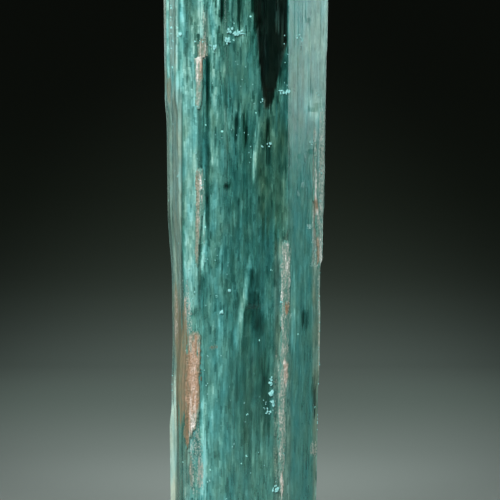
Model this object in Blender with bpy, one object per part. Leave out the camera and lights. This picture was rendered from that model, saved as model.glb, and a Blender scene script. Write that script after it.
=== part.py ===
"""Blue-green tourmaline crystal: a long striated prism of parallel-grown crystals, with rust-stained
crusts in the furrows between them, a low three-sided pyramid on top and a flat cut at its base.

Metres, +Z up along the crystal's length, the broad front face towards -Y. The base lies on z = 0.
"""

import math
import random

import bmesh
import bpy
from mathutils import Vector

MM = 0.001

HEIGHT = 92 * MM
MIDDLE = HEIGHT / 2  # the level that the face distances below are given at
SPARE = 5 * MM  # how far the prism is first made past both ends, before they are cut
TAPER = 0.0115  # how far each prism face moves out for each metre of height

# The nine prism faces: the way each faces, in degrees round from the front towards the right, and its
# distance from the long axis at the middle. Trigonal prism faces are 120 degrees apart, and the
# hexagonal prism's faces stand 30 degrees to either side of them.
TURN = 15  # how far the broad front face is turned to the right
FACES = {
    "front": (TURN, 8.80 * MM),
    "front_right": (TURN + 30, 9.45 * MM),
    "right": (TURN + 90, 9.77 * MM),
    "back_right": (TURN + 120, 8.30 * MM),
    "back": (TURN + 150, 9.00 * MM),
    "back_left": (TURN + 210, 9.20 * MM),
    "left_back": (TURN + 240, 9.47 * MM),
    "left": (TURN + 270, 11.20 * MM),
    "front_left": (TURN + 330, 12.01 * MM),
}

# Growth ledges: face, height of the ledge, how far the face steps out above it, length of the ramp.
LEDGES = (
    ("left", 66.0 * MM, 0.20 * MM, 3.0 * MM),
    ("left", 47.0 * MM, 0.50 * MM, 10.0 * MM),
    ("left", 30.0 * MM, -0.40 * MM, 8.0 * MM),
    ("left_back", 65.0 * MM, 0.20 * MM, 3.0 * MM),
    ("left_back", 46.0 * MM, 0.40 * MM, 9.0 * MM),
    ("left_back", 24.0 * MM, 0.25 * MM, 0.8 * MM),
    ("front_right", 30.0 * MM, 0.30 * MM, 24.0 * MM),
    ("right", 74.0 * MM, 0.20 * MM, 1.8 * MM),
    ("right", 51.5 * MM, 0.18 * MM, 1.2 * MM),
    ("right", 44.3 * MM, 0.30 * MM, 0.8 * MM),
    ("right", 38.5 * MM, -0.16 * MM, 3.0 * MM),
    ("right", 27.5 * MM, 0.20 * MM, 2.5 * MM),
    ("back_right", 58.0 * MM, 0.30 * MM, 0.8 * MM),
    ("back_right", 31.0 * MM, 0.22 * MM, 1.0 * MM),
    ("back", 69.0 * MM, 0.30 * MM, 0.9 * MM),
    ("back", 38.0 * MM, 0.35 * MM, 0.8 * MM),
    ("back_left", 54.0 * MM, 0.25 * MM, 0.8 * MM),
    ("back_left", 17.0 * MM, 0.30 * MM, 0.9 * MM),
)

# Furrows between the parallel crystals, and ridges where a slender one stands out (a negative depth).
# Each lies on a face, centred at a share of the way across it, and runs between two heights. It
# fades in and out over its end length. A furrow with a crust names the node that fills it, and has
# steep walls and a flat floor. The others are V-shaped.
WALL = 0.16 * MM  # how far a crusted furrow's wall takes to reach its full depth
FURROWS = (
    # face, share across, width, depth, bottom, top, end length, crust node
    ("front_left", 0.86, 1.30 * MM, 0.75 * MM, 65.5 * MM, 75.5 * MM, 1.2 * MM, "crust_left_upper"),
    ("front_left", 0.80, 1.30 * MM, 0.75 * MM, 43.5 * MM, 58.0 * MM, 1.5 * MM, "crust_left_middle"),
    ("front_left", 0.50, 2.25 * MM, 0.90 * MM, 18.0 * MM, 35.0 * MM, 1.8 * MM, "crust_left_lower"),
    ("front", 1.0, 1.35 * MM, 0.80 * MM, 9.0 * MM, 47.3 * MM, 1.0 * MM, "crust_front_right"),
    ("front_right", 0.80, 1.60 * MM, 0.75 * MM, 43.5 * MM, 61.5 * MM, 1.5 * MM, "crust_right_edge"),
    ("front_left", 0.97, 0.80 * MM, 0.35 * MM, -5.0 * MM, 95.0 * MM, 2.0 * MM, None),
    ("front", 0.30, 0.90 * MM, 0.22 * MM, 52.0 * MM, 95.0 * MM, 3.0 * MM, None),
    ("front", 0.62, 1.10 * MM, 0.20 * MM, -5.0 * MM, 33.0 * MM, 4.0 * MM, None),
    ("left", 0.35, 1.60 * MM, 0.45 * MM, -5.0 * MM, 95.0 * MM, 3.0 * MM, None),
    ("left", 0.86, 1.30 * MM, -0.30 * MM, -5.0 * MM, 35.5 * MM, 2.5 * MM, None),
    ("left", 0.06, 1.20 * MM, -0.55 * MM, -5.0 * MM, 26.0 * MM, 5.0 * MM, None),
    ("right", 0.10, 1.00 * MM, -0.22 * MM, 44.0 * MM, 95.0 * MM, 1.0 * MM, None),
    ("right", 0.55, 1.30 * MM, 0.50 * MM, 12.0 * MM, 70.0 * MM, 3.0 * MM, None),
    ("back_right", 0.35, 1.50 * MM, 0.55 * MM, -5.0 * MM, 60.0 * MM, 3.0 * MM, None),
    ("back_right", 0.75, 1.20 * MM, 0.35 * MM, 30.0 * MM, 95.0 * MM, 3.0 * MM, None),
    ("back", 0.50, 1.40 * MM, 0.60 * MM, 22.0 * MM, 95.0 * MM, 3.0 * MM, None),
    ("back_left", 0.30, 1.60 * MM, 0.60 * MM, -5.0 * MM, 95.0 * MM, 3.0 * MM, None),
    ("back_left", 0.72, 1.30 * MM, 0.40 * MM, 10.0 * MM, 52.0 * MM, 3.0 * MM, None),
    ("left_back", 0.50, 1.50 * MM, 0.50 * MM, 5.0 * MM, 75.0 * MM, 3.0 * MM, None),
)

# Striations: the ridges that run the length of every tourmaline prism. Each keeps one depth for a
# long way, and changes it at a few breaks.
STRIATION_SPACING = 0.90 * MM
STRIATION_DEPTH = (0.04 * MM, 0.24 * MM)
STRIATION_BREAKS = 2
BREAK_LENGTH = 1.5 * MM
LEAST_SPACING = 0.12 * MM
STRIATION_SEED = 7

LEVEL_SPACING = 5.0 * MM
LEAST_LEVEL = 0.8 * MM
CRUST_LEVEL = 1.1 * MM

# The top: a flat face, and three pyramid faces that lean back from the trigonal prism's.
PYRAMID_LEAN = 27.3
PYRAMID_SHOULDERS = {"front": 88.2 * MM, "back_right": 89.8 * MM, "left_back": 86.4 * MM}
# Small chips on the rim of the base: the way each faces, its height, and how steeply it leans.
BASE_CHIPS = ((40, 0.9 * MM, 40), (160, 1.3 * MM, 50), (265, 0.8 * MM, 35))

# The crusts. Each is a ribbon of lumps that stays clear of its furrow's walls and floor, stops short of
# the furrow's ends, and gets narrower and thinner towards its tips.
CRUST_GAP = 0.15 * MM
CRUST_SHORT = 0.75  # share of a furrow's end length that its crust leaves empty
CRUST_POINTS = (-1.0, -0.5, 0.0, 0.5, 1.0)  # across the ribbon, from its middle to its two edges
CRUST_NARROWEST = 0.65  # least width of a ragged edge, as a share of the furrow's half width
CRUST_LUMP = 0.22 * MM
CRUST_LEAST = 0.12 * MM
TIP_START = 0.25  # how far along its fade a crust already is at its very tip
TIP_WIDTH = 0.60
TIP_THICKNESS = 0.35
CRUST_SEED = 21

CRYSTAL_COLOUR = (0.05, 0.27, 0.23, 1.0)
CRUST_COLOUR = (0.45, 0.27, 0.17, 1.0)


def smooth_step(x):
    x = min(max(x, 0.0), 1.0)
    return x * x * (3 - 2 * x)


def face_distance(name, z):
    """How far a prism face stands from the long axis at height z."""
    distance = FACES[name][1] + TAPER * (z - MIDDLE)
    for face, height, step, ramp in LEDGES:
        if face == name:
            rise = smooth_step((z - height) / ramp + 0.5)
            at_middle = smooth_step((MIDDLE - height) / ramp + 0.5)
            distance += step * (rise - at_middle)
    return distance


def face_normal(name):
    angle = math.radians(FACES[name][0])
    return Vector((math.sin(angle), -math.cos(angle)))


def corner(first, second, z):
    """Where two neighbouring prism faces meet at height z, as (x, y)."""
    a, b = face_normal(first), face_normal(second)
    d, e = face_distance(first, z), face_distance(second, z)
    across = a.x * b.y - a.y * b.x
    return Vector(((d * b.y - e * a.y) / across, (e * a.x - d * b.x) / across))


NAMES = list(FACES)


def corners(z):
    """The start corner of every face at height z, going round from the left of the front face."""
    return [corner(NAMES[i - 1], NAMES[i], z) for i in range(len(NAMES))]


def face_starts():
    """Distance round the section, at the middle, at which each face starts, and the whole way round."""
    points = corners(MIDDLE)
    starts = [0.0]
    for i, point in enumerate(points):
        starts.append(starts[-1] + (points[(i + 1) % len(points)] - point).length)
    return starts


STARTS = face_starts()
ROUND = STARTS[-1]


def place(face, share):
    """Distance round the section of a point at a share of the way across a face."""
    i = NAMES.index(face)
    return STARTS[i] + share * (STARTS[i + 1] - STARTS[i])


def gap_between(a, b):
    """The shorter way round the section from a to b, with its sign."""
    return (b - a + ROUND / 2) % ROUND - ROUND / 2


def furrow_depth(s, z):
    """How far the furrows and ridges move the surface in at a place round the section and a height."""
    depth = 0.0
    for face, share, width, deep, bottom, top, end, crust in FURROWS:
        off = abs(gap_between(place(face, share), s))
        wall = WALL if crust else width / 2
        across = min(max((width / 2 - off) / wall, 0.0), 1.0)
        along = smooth_step((z - bottom) / end) * smooth_step((top - z) / end)
        if abs(deep * across * along) > abs(depth):
            depth = deep * across * along
    return depth


def edge_places():
    """Places round the section where it needs a point: the prism's corners and the furrows' edges."""
    wanted = list(STARTS[:-1])
    for face, share, width, _, _, _, _, crust in FURROWS:
        insets = (0.0, WALL) if crust else (0.0, width / 2)
        for side in (-1, 1):
            for inset in insets:
                wanted.append((place(face, share) + side * (width / 2 - inset)) % ROUND)
    kept = []
    for s in wanted:
        if all(abs(gap_between(s, other)) > LEAST_SPACING for other in kept):
            kept.append(s)
    return kept


def striations(edges):
    """Furrow bottoms between the striation ridges: [place round the section, [(height, depth), ...]]."""
    rng = random.Random(STRIATION_SEED)
    count = round(ROUND / STRIATION_SPACING)
    made = []
    for i in range(count):
        s = (i + rng.uniform(0.15, 0.85)) * ROUND / count
        heights = sorted(rng.uniform(0.0, HEIGHT) for _ in range(STRIATION_BREAKS))
        depths = [rng.uniform(*STRIATION_DEPTH) for _ in range(STRIATION_BREAKS + 1)]
        if all(abs(gap_between(s, other)) > 2 * LEAST_SPACING for other in edges):
            made.append((s, heights, depths))
    return made


def striation_depth(heights, depths, z):
    """The depth of one striation at height z, which eases from one value to the next at each break."""
    deep = depths[0]
    for height, before, after in zip(heights, depths, depths[1:]):
        deep += (after - before) * smooth_step((z - height) / BREAK_LENGTH + 0.5)
    return deep


def section_point(s, z, extra):
    """The surface at a place round the section and a height, moved in by the furrows and by extra."""
    i = max(k for k in range(len(NAMES)) if STARTS[k] <= s + 1e-12)
    share = (s - STARTS[i]) / (STARTS[i + 1] - STARTS[i])
    start = corner(NAMES[i - 1], NAMES[i], z)
    end = corner(NAMES[i], NAMES[(i + 1) % len(NAMES)], z)
    flat = start.lerp(end, share)
    inward = furrow_depth(s, z) + extra
    flat -= flat.normalized() * inward
    return Vector((flat.x, flat.y, z))


def levels(bottom, top, spacing, marks=()):
    """Heights from bottom to top, evenly spaced, with the marks among them."""
    count = max(1, round((top - bottom) / spacing))
    heights = [bottom + (top - bottom) * i / count for i in range(count + 1)]
    wanted = [bottom, top] + [m for m in marks if bottom < m < top] + heights
    kept = []
    for z in wanted:
        if all(abs(z - other) >= LEAST_LEVEL for other in kept):
            kept.append(z)
    return sorted(kept)


def skin(mesh, rings):
    """Faces between each ring of vertices and the next one up."""
    for low, high in zip(rings, rings[1:]):
        for i in range(len(low)):
            j = (i + 1) % len(low)
            mesh.faces.new((low[i], low[j], high[j], high[i]))


def finish_object(mesh, name, material):
    bmesh.ops.recalc_face_normals(mesh, faces=mesh.faces)
    data = bpy.data.meshes.new(name)
    mesh.to_mesh(data)
    mesh.free()
    data.materials.append(material)
    made = bpy.data.objects.new(name, data)
    bpy.context.scene.collection.objects.link(made)
    return made


def cut_off(mesh, point, normal):
    """Cuts away what lies beyond a plane, and closes the cut with a flat face."""
    everything = mesh.verts[:] + mesh.edges[:] + mesh.faces[:]
    cut = bmesh.ops.bisect_plane(
        mesh, geom=everything, dist=1e-7, plane_co=point, plane_no=normal, clear_outer=True
    )
    edges = [e for e in cut["geom_cut"] if isinstance(e, bmesh.types.BMEdge)]
    bmesh.ops.contextual_create(mesh, geom=edges)


def pyramid_plane(face, shoulder):
    """A point and the normal of the pyramid face that starts at a prism face's shoulder height."""
    flat = face_normal(face)
    lean = math.radians(PYRAMID_LEAN)
    normal = Vector((flat.x * math.sin(lean), flat.y * math.sin(lean), math.cos(lean)))
    edge = flat * face_distance(face, shoulder)
    return Vector((edge.x, edge.y, shoulder)), normal


def chip_plane(angle_degrees, height, lean_degrees):
    """A point and the outward normal of a chip on the rim of the base."""
    angle, lean = math.radians(angle_degrees), math.radians(lean_degrees)
    way = Vector((math.sin(angle), -math.cos(angle)))
    reach = max(way.dot(point) for point in corners(0.0))
    normal = Vector((way.x * math.cos(lean), way.y * math.cos(lean), -math.sin(lean)))
    return Vector((way.x * reach, way.y * reach, height)), normal


def build_crystal(material):
    mesh = bmesh.new()
    edges = edge_places()
    lines = sorted([(s, [], [0.0]) for s in edges] + striations(edges))
    marks = []
    for _, _, _, _, bottom, top, end, crust in FURROWS:
        marks += [bottom, bottom + end, top - end, top] if crust else [bottom + end / 2, top - end / 2]
    for _, height, _, ramp in LEDGES:
        marks += [height - ramp / 2, height + ramp / 2]
    rings = []
    for z in levels(-SPARE, HEIGHT + SPARE, LEVEL_SPACING, marks):
        depths = [striation_depth(heights, depths, z) for _, heights, depths in lines]
        places = [s for s, _, _ in lines]
        rings.append([mesh.verts.new(section_point(s, z, deep)) for s, deep in zip(places, depths)])
    skin(mesh, rings)
    mesh.faces.new(rings[0])
    mesh.faces.new(rings[-1])
    for chip in BASE_CHIPS:
        cut_off(mesh, *chip_plane(*chip))
    cut_off(mesh, Vector((0, 0, 0)), Vector((0, 0, -1)))
    for face, shoulder in PYRAMID_SHOULDERS.items():
        cut_off(mesh, *pyramid_plane(face, shoulder))
    cut_off(mesh, Vector((0, 0, HEIGHT)), Vector((0, 0, 1)))
    bmesh.ops.triangulate(mesh, faces=[f for f in mesh.faces if len(f.verts) > 4])
    return finish_object(mesh, "tourmaline_crystal", material)


def build_crust(furrow, material):
    """The lumpy filling of one furrow, clear of its walls and floor by the crust gap."""
    face, share, width, _, bottom, top, end, name = furrow
    rng = random.Random(f"{CRUST_SEED} {name}")
    mesh = bmesh.new()
    centre = place(face, share)
    half = width / 2 - WALL - CRUST_GAP
    low, high = bottom + CRUST_SHORT * end, top - CRUST_SHORT * end
    rings = []
    for z in levels(low, high, CRUST_LEVEL):
        fade = min(1.0, (z - low) / end + TIP_START, (high - z) / end + TIP_START)
        reach = half * (TIP_WIDTH + (1 - TIP_WIDTH) * fade)
        left = reach * rng.uniform(CRUST_NARROWEST, 1.0)
        right = reach * rng.uniform(CRUST_NARROWEST, 1.0)
        floor, outer = [], []
        for x in CRUST_POINTS:
            s = (centre + x * (left if x < 0 else right)) % ROUND
            filled = (furrow_depth(s, z) - CRUST_GAP) * (TIP_THICKNESS + (1 - TIP_THICKNESS) * fade)
            thick = max(filled - rng.uniform(0.0, CRUST_LUMP), CRUST_LEAST)
            floor.append(mesh.verts.new(section_point(s, z, -CRUST_GAP)))
            outer.append(mesh.verts.new(section_point(s, z, -CRUST_GAP - thick)))
        rings.append(floor + outer[::-1])
    skin(mesh, rings)
    mesh.faces.new(rings[0])
    mesh.faces.new(rings[-1])
    bmesh.ops.triangulate(mesh, faces=mesh.faces)
    return finish_object(mesh, name, material)


def plain_material(name, colour, roughness, transmission=0.0):
    material = bpy.data.materials.new(name)
    material.use_nodes = True
    shader = material.node_tree.nodes["Principled BSDF"]
    shader.inputs["Base Color"].default_value = colour
    shader.inputs["Roughness"].default_value = roughness
    shader.inputs["Metallic"].default_value = 0.0
    shader.inputs["Transmission Weight"].default_value = transmission
    return material


def centre_on_base(objects):
    """Moves the meshes sideways so that the crystal's box is centred on the long axis."""
    low = [min(v.co[i] for v in objects[0].data.vertices) for i in range(2)]
    high = [max(v.co[i] for v in objects[0].data.vertices) for i in range(2)]
    shift = Vector((-(low[0] + high[0]) / 2, -(low[1] + high[1]) / 2, 0.0))
    for made in objects:
        for vertex in made.data.vertices:
            vertex.co += shift


def main():
    for old in list(bpy.data.objects):
        bpy.data.objects.remove(old)
    crystal = plain_material("tourmaline", CRYSTAL_COLOUR, 0.15, 0.6)
    crust = plain_material("crust", CRUST_COLOUR, 0.9)
    made = [build_crystal(crystal)]
    made += [build_crust(furrow, crust) for furrow in FURROWS if furrow[-1]]
    centre_on_base(made)


main()
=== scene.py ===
"""The looks of the blue-green tourmaline crystal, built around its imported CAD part.

Metres, +Z up along the crystal's length, the broad front face towards -Y, the camera out along -Y.
"""

import math
import random

import bmesh
import bpy
import numpy as np
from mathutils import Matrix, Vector


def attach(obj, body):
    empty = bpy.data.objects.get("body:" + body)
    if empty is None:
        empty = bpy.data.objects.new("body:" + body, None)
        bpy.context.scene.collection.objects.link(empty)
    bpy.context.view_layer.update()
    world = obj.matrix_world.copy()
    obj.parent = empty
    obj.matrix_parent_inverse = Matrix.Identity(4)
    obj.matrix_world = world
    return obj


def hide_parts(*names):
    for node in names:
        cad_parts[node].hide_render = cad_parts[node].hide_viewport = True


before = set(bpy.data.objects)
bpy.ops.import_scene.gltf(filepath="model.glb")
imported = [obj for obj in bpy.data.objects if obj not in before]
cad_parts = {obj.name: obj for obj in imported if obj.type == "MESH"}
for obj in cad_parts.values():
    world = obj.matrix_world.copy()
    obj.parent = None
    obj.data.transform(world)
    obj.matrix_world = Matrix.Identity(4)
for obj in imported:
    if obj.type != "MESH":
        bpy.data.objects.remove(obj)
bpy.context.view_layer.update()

MM = 0.001

# ---- The crystal's form, with the same values and rules as its source ----

HEIGHT = 92 * MM
MIDDLE = HEIGHT / 2
SPARE = 5 * MM  # how far the mesh runs past both ends before it is cut
TAPER = 0.0115
TURN = 15  # degrees that the front face is turned to the right
FACES = {  # name: (degrees round from the front towards the right, distance from the axis at the middle)
    "front": (TURN, 8.80 * MM),
    "front_right": (TURN + 30, 9.45 * MM),
    "right": (TURN + 90, 9.77 * MM),
    "back_right": (TURN + 120, 8.30 * MM),
    "back": (TURN + 150, 9.00 * MM),
    "back_left": (TURN + 210, 9.20 * MM),
    "left_back": (TURN + 240, 9.47 * MM),
    "left": (TURN + 270, 11.20 * MM),
    "front_left": (TURN + 330, 12.01 * MM),
}
NAMES = list(FACES)
LEDGES = (  # face, and in mm its height, its step out above that and the length of its ramp
    ("left", 66.0, 0.20, 3.0), ("left", 47.0, 0.50, 10.0), ("left", 30.0, -0.40, 8.0),
    ("left_back", 65.0, 0.20, 3.0), ("left_back", 46.0, 0.40, 9.0), ("left_back", 24.0, 0.25, 0.8),
    ("front_right", 30.0, 0.30, 24.0), ("right", 74.0, 0.20, 1.8), ("right", 51.5, 0.18, 1.2),
    ("right", 44.3, 0.30, 0.8), ("right", 38.5, -0.16, 3.0), ("right", 27.5, 0.20, 2.5),
    ("back_right", 58.0, 0.30, 0.8), ("back_right", 31.0, 0.22, 1.0), ("back", 69.0, 0.30, 0.9),
    ("back", 38.0, 0.35, 0.8), ("back_left", 54.0, 0.25, 0.8), ("back_left", 17.0, 0.30, 0.9),
)
WALL = 0.16 * MM  # how wide the side of a crust's furrow is
FURROWS = (  # face, share across it, then in mm: width, depth, bottom, top and end length, and crust node
    ("front_left", 0.86, 1.30, 0.75, 65.5, 75.5, 1.2, "crust_left_upper"),
    ("front_left", 0.80, 1.30, 0.75, 43.5, 58.0, 1.5, "crust_left_middle"),
    ("front_left", 0.50, 2.25, 0.90, 18.0, 35.0, 1.8, "crust_left_lower"),
    ("front", 1.0, 1.35, 0.80, 9.0, 47.3, 1.0, "crust_front_right"),
    ("front_right", 0.80, 1.60, 0.75, 43.5, 61.5, 1.5, "crust_right_edge"),
    ("front_left", 0.97, 0.80, 0.35, -5.0, 95.0, 2.0, None),
    ("front", 0.30, 0.90, 0.22, 52.0, 95.0, 3.0, None),
    ("front", 0.62, 1.10, 0.20, -5.0, 33.0, 4.0, None),
    ("left", 0.35, 1.60, 0.45, -5.0, 95.0, 3.0, None),
    ("left", 0.86, 1.30, -0.30, -5.0, 35.5, 2.5, None),
    ("left", 0.06, 1.20, -0.55, -5.0, 26.0, 5.0, None),
    ("right", 0.10, 1.00, -0.22, 44.0, 95.0, 1.0, None),
    ("right", 0.55, 1.30, 0.50, 12.0, 70.0, 3.0, None),
    ("back_right", 0.35, 1.50, 0.55, -5.0, 60.0, 3.0, None),
    ("back_right", 0.75, 1.20, 0.35, 30.0, 95.0, 3.0, None),
    ("back", 0.50, 1.40, 0.60, 22.0, 95.0, 3.0, None),
    ("back_left", 0.30, 1.60, 0.60, -5.0, 95.0, 3.0, None),
    ("back_left", 0.72, 1.30, 0.40, 10.0, 52.0, 3.0, None),
    ("left_back", 0.50, 1.50, 0.50, 5.0, 75.0, 3.0, None),
)
LEDGES = [(face, *(size * MM for size in sizes)) for face, *sizes in LEDGES]
FURROWS = [(face, share, *(size * MM for size in sizes), crust) for face, share, *sizes, crust in FURROWS]
PYRAMID_LEAN = 27.3
PYRAMID_SHOULDERS = {"front": 88.2 * MM, "back_right": 89.8 * MM, "left_back": 86.4 * MM}
BASE_CHIPS = ((40, 0.9 * MM, 40), (160, 1.3 * MM, 50), (265, 0.8 * MM, 35))


def smooth_step(x):
    x = np.clip(x, 0.0, 1.0)
    return x * x * (3 - 2 * x)


def face_distance(name, z):
    """How far a prism face stands from the long axis at height z."""
    distance = FACES[name][1] + TAPER * (z - MIDDLE)
    for face, height, step, ramp in LEDGES:
        if face == name:
            rise = smooth_step((z - height) / ramp + 0.5)
            at_middle = smooth_step((MIDDLE - height) / ramp + 0.5)
            distance += step * (rise - at_middle)
    return distance


def face_normal(name):
    angle = math.radians(FACES[name][0])
    return Vector((math.sin(angle), -math.cos(angle)))


def corner(first, second, z):
    """Where two neighbouring prism faces meet at height z, as (x, y)."""
    a, b = face_normal(first), face_normal(second)
    d, e = face_distance(first, z), face_distance(second, z)
    across = a.x * b.y - a.y * b.x
    return np.array(((d * b.y - e * a.y) / across, (e * a.x - d * b.x) / across))


def corners(z):
    """The start corner of every face at height z, going round from the left of the front face."""
    return np.array([corner(NAMES[i - 1], NAMES[i], z) for i in range(len(NAMES))])


def face_starts():
    """Distance round the section, at the middle, at which each face starts, and the whole way round."""
    points = corners(MIDDLE)
    sides = np.linalg.norm(np.roll(points, -1, axis=0) - points, axis=1)
    return [0.0] + list(np.cumsum(sides))


STARTS = face_starts()
ROUND = STARTS[-1]


def place(face, share):
    """Distance round the section of a point at a share of the way across a face."""
    i = NAMES.index(face)
    return STARTS[i] + share * (STARTS[i + 1] - STARTS[i])


def gap_between(a, b):
    """The shorter way round the section from a to b, with its sign."""
    return (b - a + ROUND / 2) % ROUND - ROUND / 2


def furrow_depth(s, z, pockets=None):
    """How far the furrows and ridges move the surface in, for places s (n, 1) and heights z (m).
    pockets says, for each crust, how much of its furrow's depth is open."""
    depth = np.zeros(np.broadcast(s, z).shape)
    for face, share, width, deep, bottom, top, end, crust in FURROWS:
        off = abs(gap_between(place(face, share), s))
        wall = WALL if crust else width / 2
        across = np.clip((width / 2 - off) / wall, 0.0, 1.0)
        along = smooth_step((z - bottom) / end) * smooth_step((top - z) / end)
        moved = deep * across * along
        if crust and pockets:
            moved = moved * pockets[crust]
        depth = np.where(abs(moved) > abs(depth), moved, depth)
    return depth


def flat_surface(s, z):
    """The plain prism's surface for places s (n) and heights z (m), as (n, m, 2)."""
    starts = np.array(STARTS)
    i = face_at(s)
    share = ((s - starts[i]) / (starts[i + 1] - starts[i]))[:, None, None]
    ring = np.array([corners(height) for height in z]).transpose(1, 0, 2)
    return ring[i] * (1 - share) + ring[(i + 1) % len(NAMES)] * share


def face_at(s):
    """The number of the face at each place round the section."""
    return np.clip(np.searchsorted(STARTS, s + 1e-12, side="right") - 1, 0, len(NAMES) - 1)


def moved_in(flat, inward):
    """The surface moved towards the long axis by the depths given, as (n, m, 2)."""
    reach = np.linalg.norm(flat, axis=2)
    return flat * (1 - inward / reach)[:, :, None]


# ---- Fibres: the fine parallel growth that gives striations and streaks ----

FIBRE_JITTER = 0.35  # of a fibre's width, how far its border may stray
LONGEST_RAMP = 0.35 * MM  # from one value to the next at a break


def fibres(s, z, width, length, seed):
    """A random value from 0 to 1 for each fibre of about this width, changing at breaks this far apart."""
    rng = np.random.default_rng(seed)
    count = int(round(ROUND / width))
    borders = (np.arange(count) + rng.uniform(-FIBRE_JITTER, FIBRE_JITTER, count)) * ROUND / count
    fibre = np.searchsorted(np.sort(borders), s % ROUND) % count
    values = np.zeros((count, len(z)))
    ramp = min(length * 0.1, LONGEST_RAMP)
    breaks = int((HEIGHT + 2 * SPARE) / length) + 1
    for k in range(count):
        heights = np.sort(rng.uniform(-SPARE, HEIGHT + SPARE, breaks))
        levels = rng.uniform(0.0, 1.0, breaks + 1)
        values[k] = levels[0]
        for height, step in zip(heights, np.diff(levels)):
            values[k] += step * smooth_step((z - height) / ramp + 0.5)
    return values[fibre]


FINE_ACROSS = 0.118 * MM
FINE_ALONG = 0.66 * MM
LEAST_SPACING = 0.05 * MM


def key_places():
    """Places round the section that need a row of points: the corners and the furrows' edges."""
    wanted = list(STARTS[:-1])
    for face, share, width, *_, crust in FURROWS:
        for inset in (0.0, WALL) if crust else (0.0, width / 2):
            for side in (-1, 1):
                wanted.append((place(face, share) + side * (width / 2 - inset)) % ROUND)
    kept = []
    for s in wanted:
        if all(abs(gap_between(s, other)) > LEAST_SPACING for other in kept):
            kept.append(s)
    return sorted(kept)


def fine_places():
    keys = key_places()
    keys.append(keys[0] + ROUND)
    places = []
    for start, end in zip(keys, keys[1:]):
        count = max(1, math.ceil((end - start) / FINE_ACROSS))
        places += [start + (end - start) * i / count for i in range(count)]
    return np.array(places) % ROUND


def fine_levels():
    count = round((HEIGHT + 2 * SPARE) / FINE_ALONG)
    return np.linspace(-SPARE, HEIGHT + SPARE, count + 1)


# ---- The camera, and where the picture's pixels fall on the crystal ----

PIXEL = 0.142 * MM  # what one pixel of the 500-pixel picture covers at the long axis
PICTURE = 500
AXIS_COLUMN = 246  # the column that the section's own axis falls on
CAMERA_DISTANCE = 450 * MM
SENSOR = 36.0
SEEN_FACES = ("left", "front_left", "front", "front_right")
SHIFT_LEVELS = 93  # heights at which the section's width and depth are measured


def section_shift():
    """How far the source moves the section sideways, to centre the crystal's box on the long axis."""
    levels = np.linspace(0, HEIGHT, SHIFT_LEVELS)
    places = fine_places()
    surface = moved_in(flat_surface(places, levels), furrow_depth(places[:, None], levels[None, :]))
    return -(surface.min(axis=(0, 1)) + surface.max(axis=(0, 1))) / 2


SHIFT = section_shift()
CAMERA_X = (PICTURE / 2 - AXIS_COLUMN) * PIXEL + SHIFT[0]


class Grid:
    """Places round the section and heights, with the plain prism's surface there, and the column and
    row at which the picture shows each point."""

    def __init__(self, places, levels):
        self.places, self.levels = places, levels
        self.flat = flat_surface(places % ROUND, levels)
        scale = CAMERA_DISTANCE / (CAMERA_DISTANCE + self.flat[..., 1] + SHIFT[1]) / PIXEL
        self.column = PICTURE / 2 + (self.flat[..., 0] + SHIFT[0] - CAMERA_X) * scale
        self.row = PICTURE / 2 - (levels[None, :] - MIDDLE) * scale
        seen = [NAMES.index(name) for name in SEEN_FACES]
        self.seen = np.isin(face_at(places % ROUND), seen)[:, None]


CRYSTAL = Grid(fine_places(), fine_levels())


def spot(column, row):
    """The place round the section and the height that the picture shows at a column and a row."""
    seen = CRYSTAL.seen[:, 0]
    places = gap_between(0.0, CRYSTAL.places[seen])
    order = np.argsort(places)
    rows = CRYSTAL.row[seen][order].mean(axis=0)
    level = int(abs(rows - row).argmin())
    height = np.interp(-row, -rows, CRYSTAL.levels)
    return float(np.interp(column, CRYSTAL.column[seen][order][:, level], places[order])), float(height)


def band(value, low, high, soft):
    """1 between low and high, falling to 0 over the softness on either side."""
    return smooth_step((value - low) / soft + 0.5) * smooth_step((high - value) / soft + 0.5)


NARROW_PATCH = 10  # pixels
FINE_TEETH = 0.17 * MM
COARSE_TEETH = 0.35 * MM
USUAL_SOFTNESS = (2.0, 6.0, 0.0)  # a zone's softness, the length of its ends, and their raggedness


def patch(grid, zone, seed):
    """A patch of the front faces between two rows and two columns of the picture, with its lower
    corners at other columns if it slants. Its ends are ragged by so many rows, from fibre to fibre."""
    top, bottom, left, right, _ = zone[:5]
    usual = (*USUAL_SOFTNESS, left, right)
    soft, end, ragged, low_left, low_right = zone[5:] + usual[len(zone) - 5:]
    share = np.clip((grid.row - top) / (bottom - top), 0, 1)
    start = left + (low_left - left) * share
    stop = right + (low_right - right) * share
    teeth = FINE_TEETH if right - left < NARROW_PATCH else COARSE_TEETH
    uneven = fibres(grid.places, grid.levels[:1], teeth, HEIGHT, seed) - 0.5
    row = grid.row + ragged * uneven
    return band(grid.column, start, stop, soft) * band(row, top, bottom, end) * grid.seen


def zone_map(grid, name, start=None):
    """A map with each zone's value in its patch, over the value that it starts with."""
    seed, elsewhere, zones = ZONES[name]
    made = np.full(grid.column.shape, elsewhere if start is None else start)
    for k, zone in enumerate(zones):
        made += (zone[4] - made) * patch(grid, zone, seed + k)
    return made


def lumps(x, y, seed):
    """Smooth noise from 0 to 1 over two grids of coordinates, one bump for each unit."""
    rng = np.random.default_rng(seed)
    table = rng.uniform(0, 1, (64, 64))
    i, j = np.floor(x).astype(int), np.floor(y).astype(int)
    u, v = smooth_step(x - i), smooth_step(y - j)
    low = table[i % 64, j % 64] * (1 - v) + table[i % 64, (j + 1) % 64] * v
    high = table[(i + 1) % 64, j % 64] * (1 - v) + table[(i + 1) % 64, (j + 1) % 64] * v
    return low * (1 - u) + high * u


# ---- Where the crusts lie ----

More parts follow.
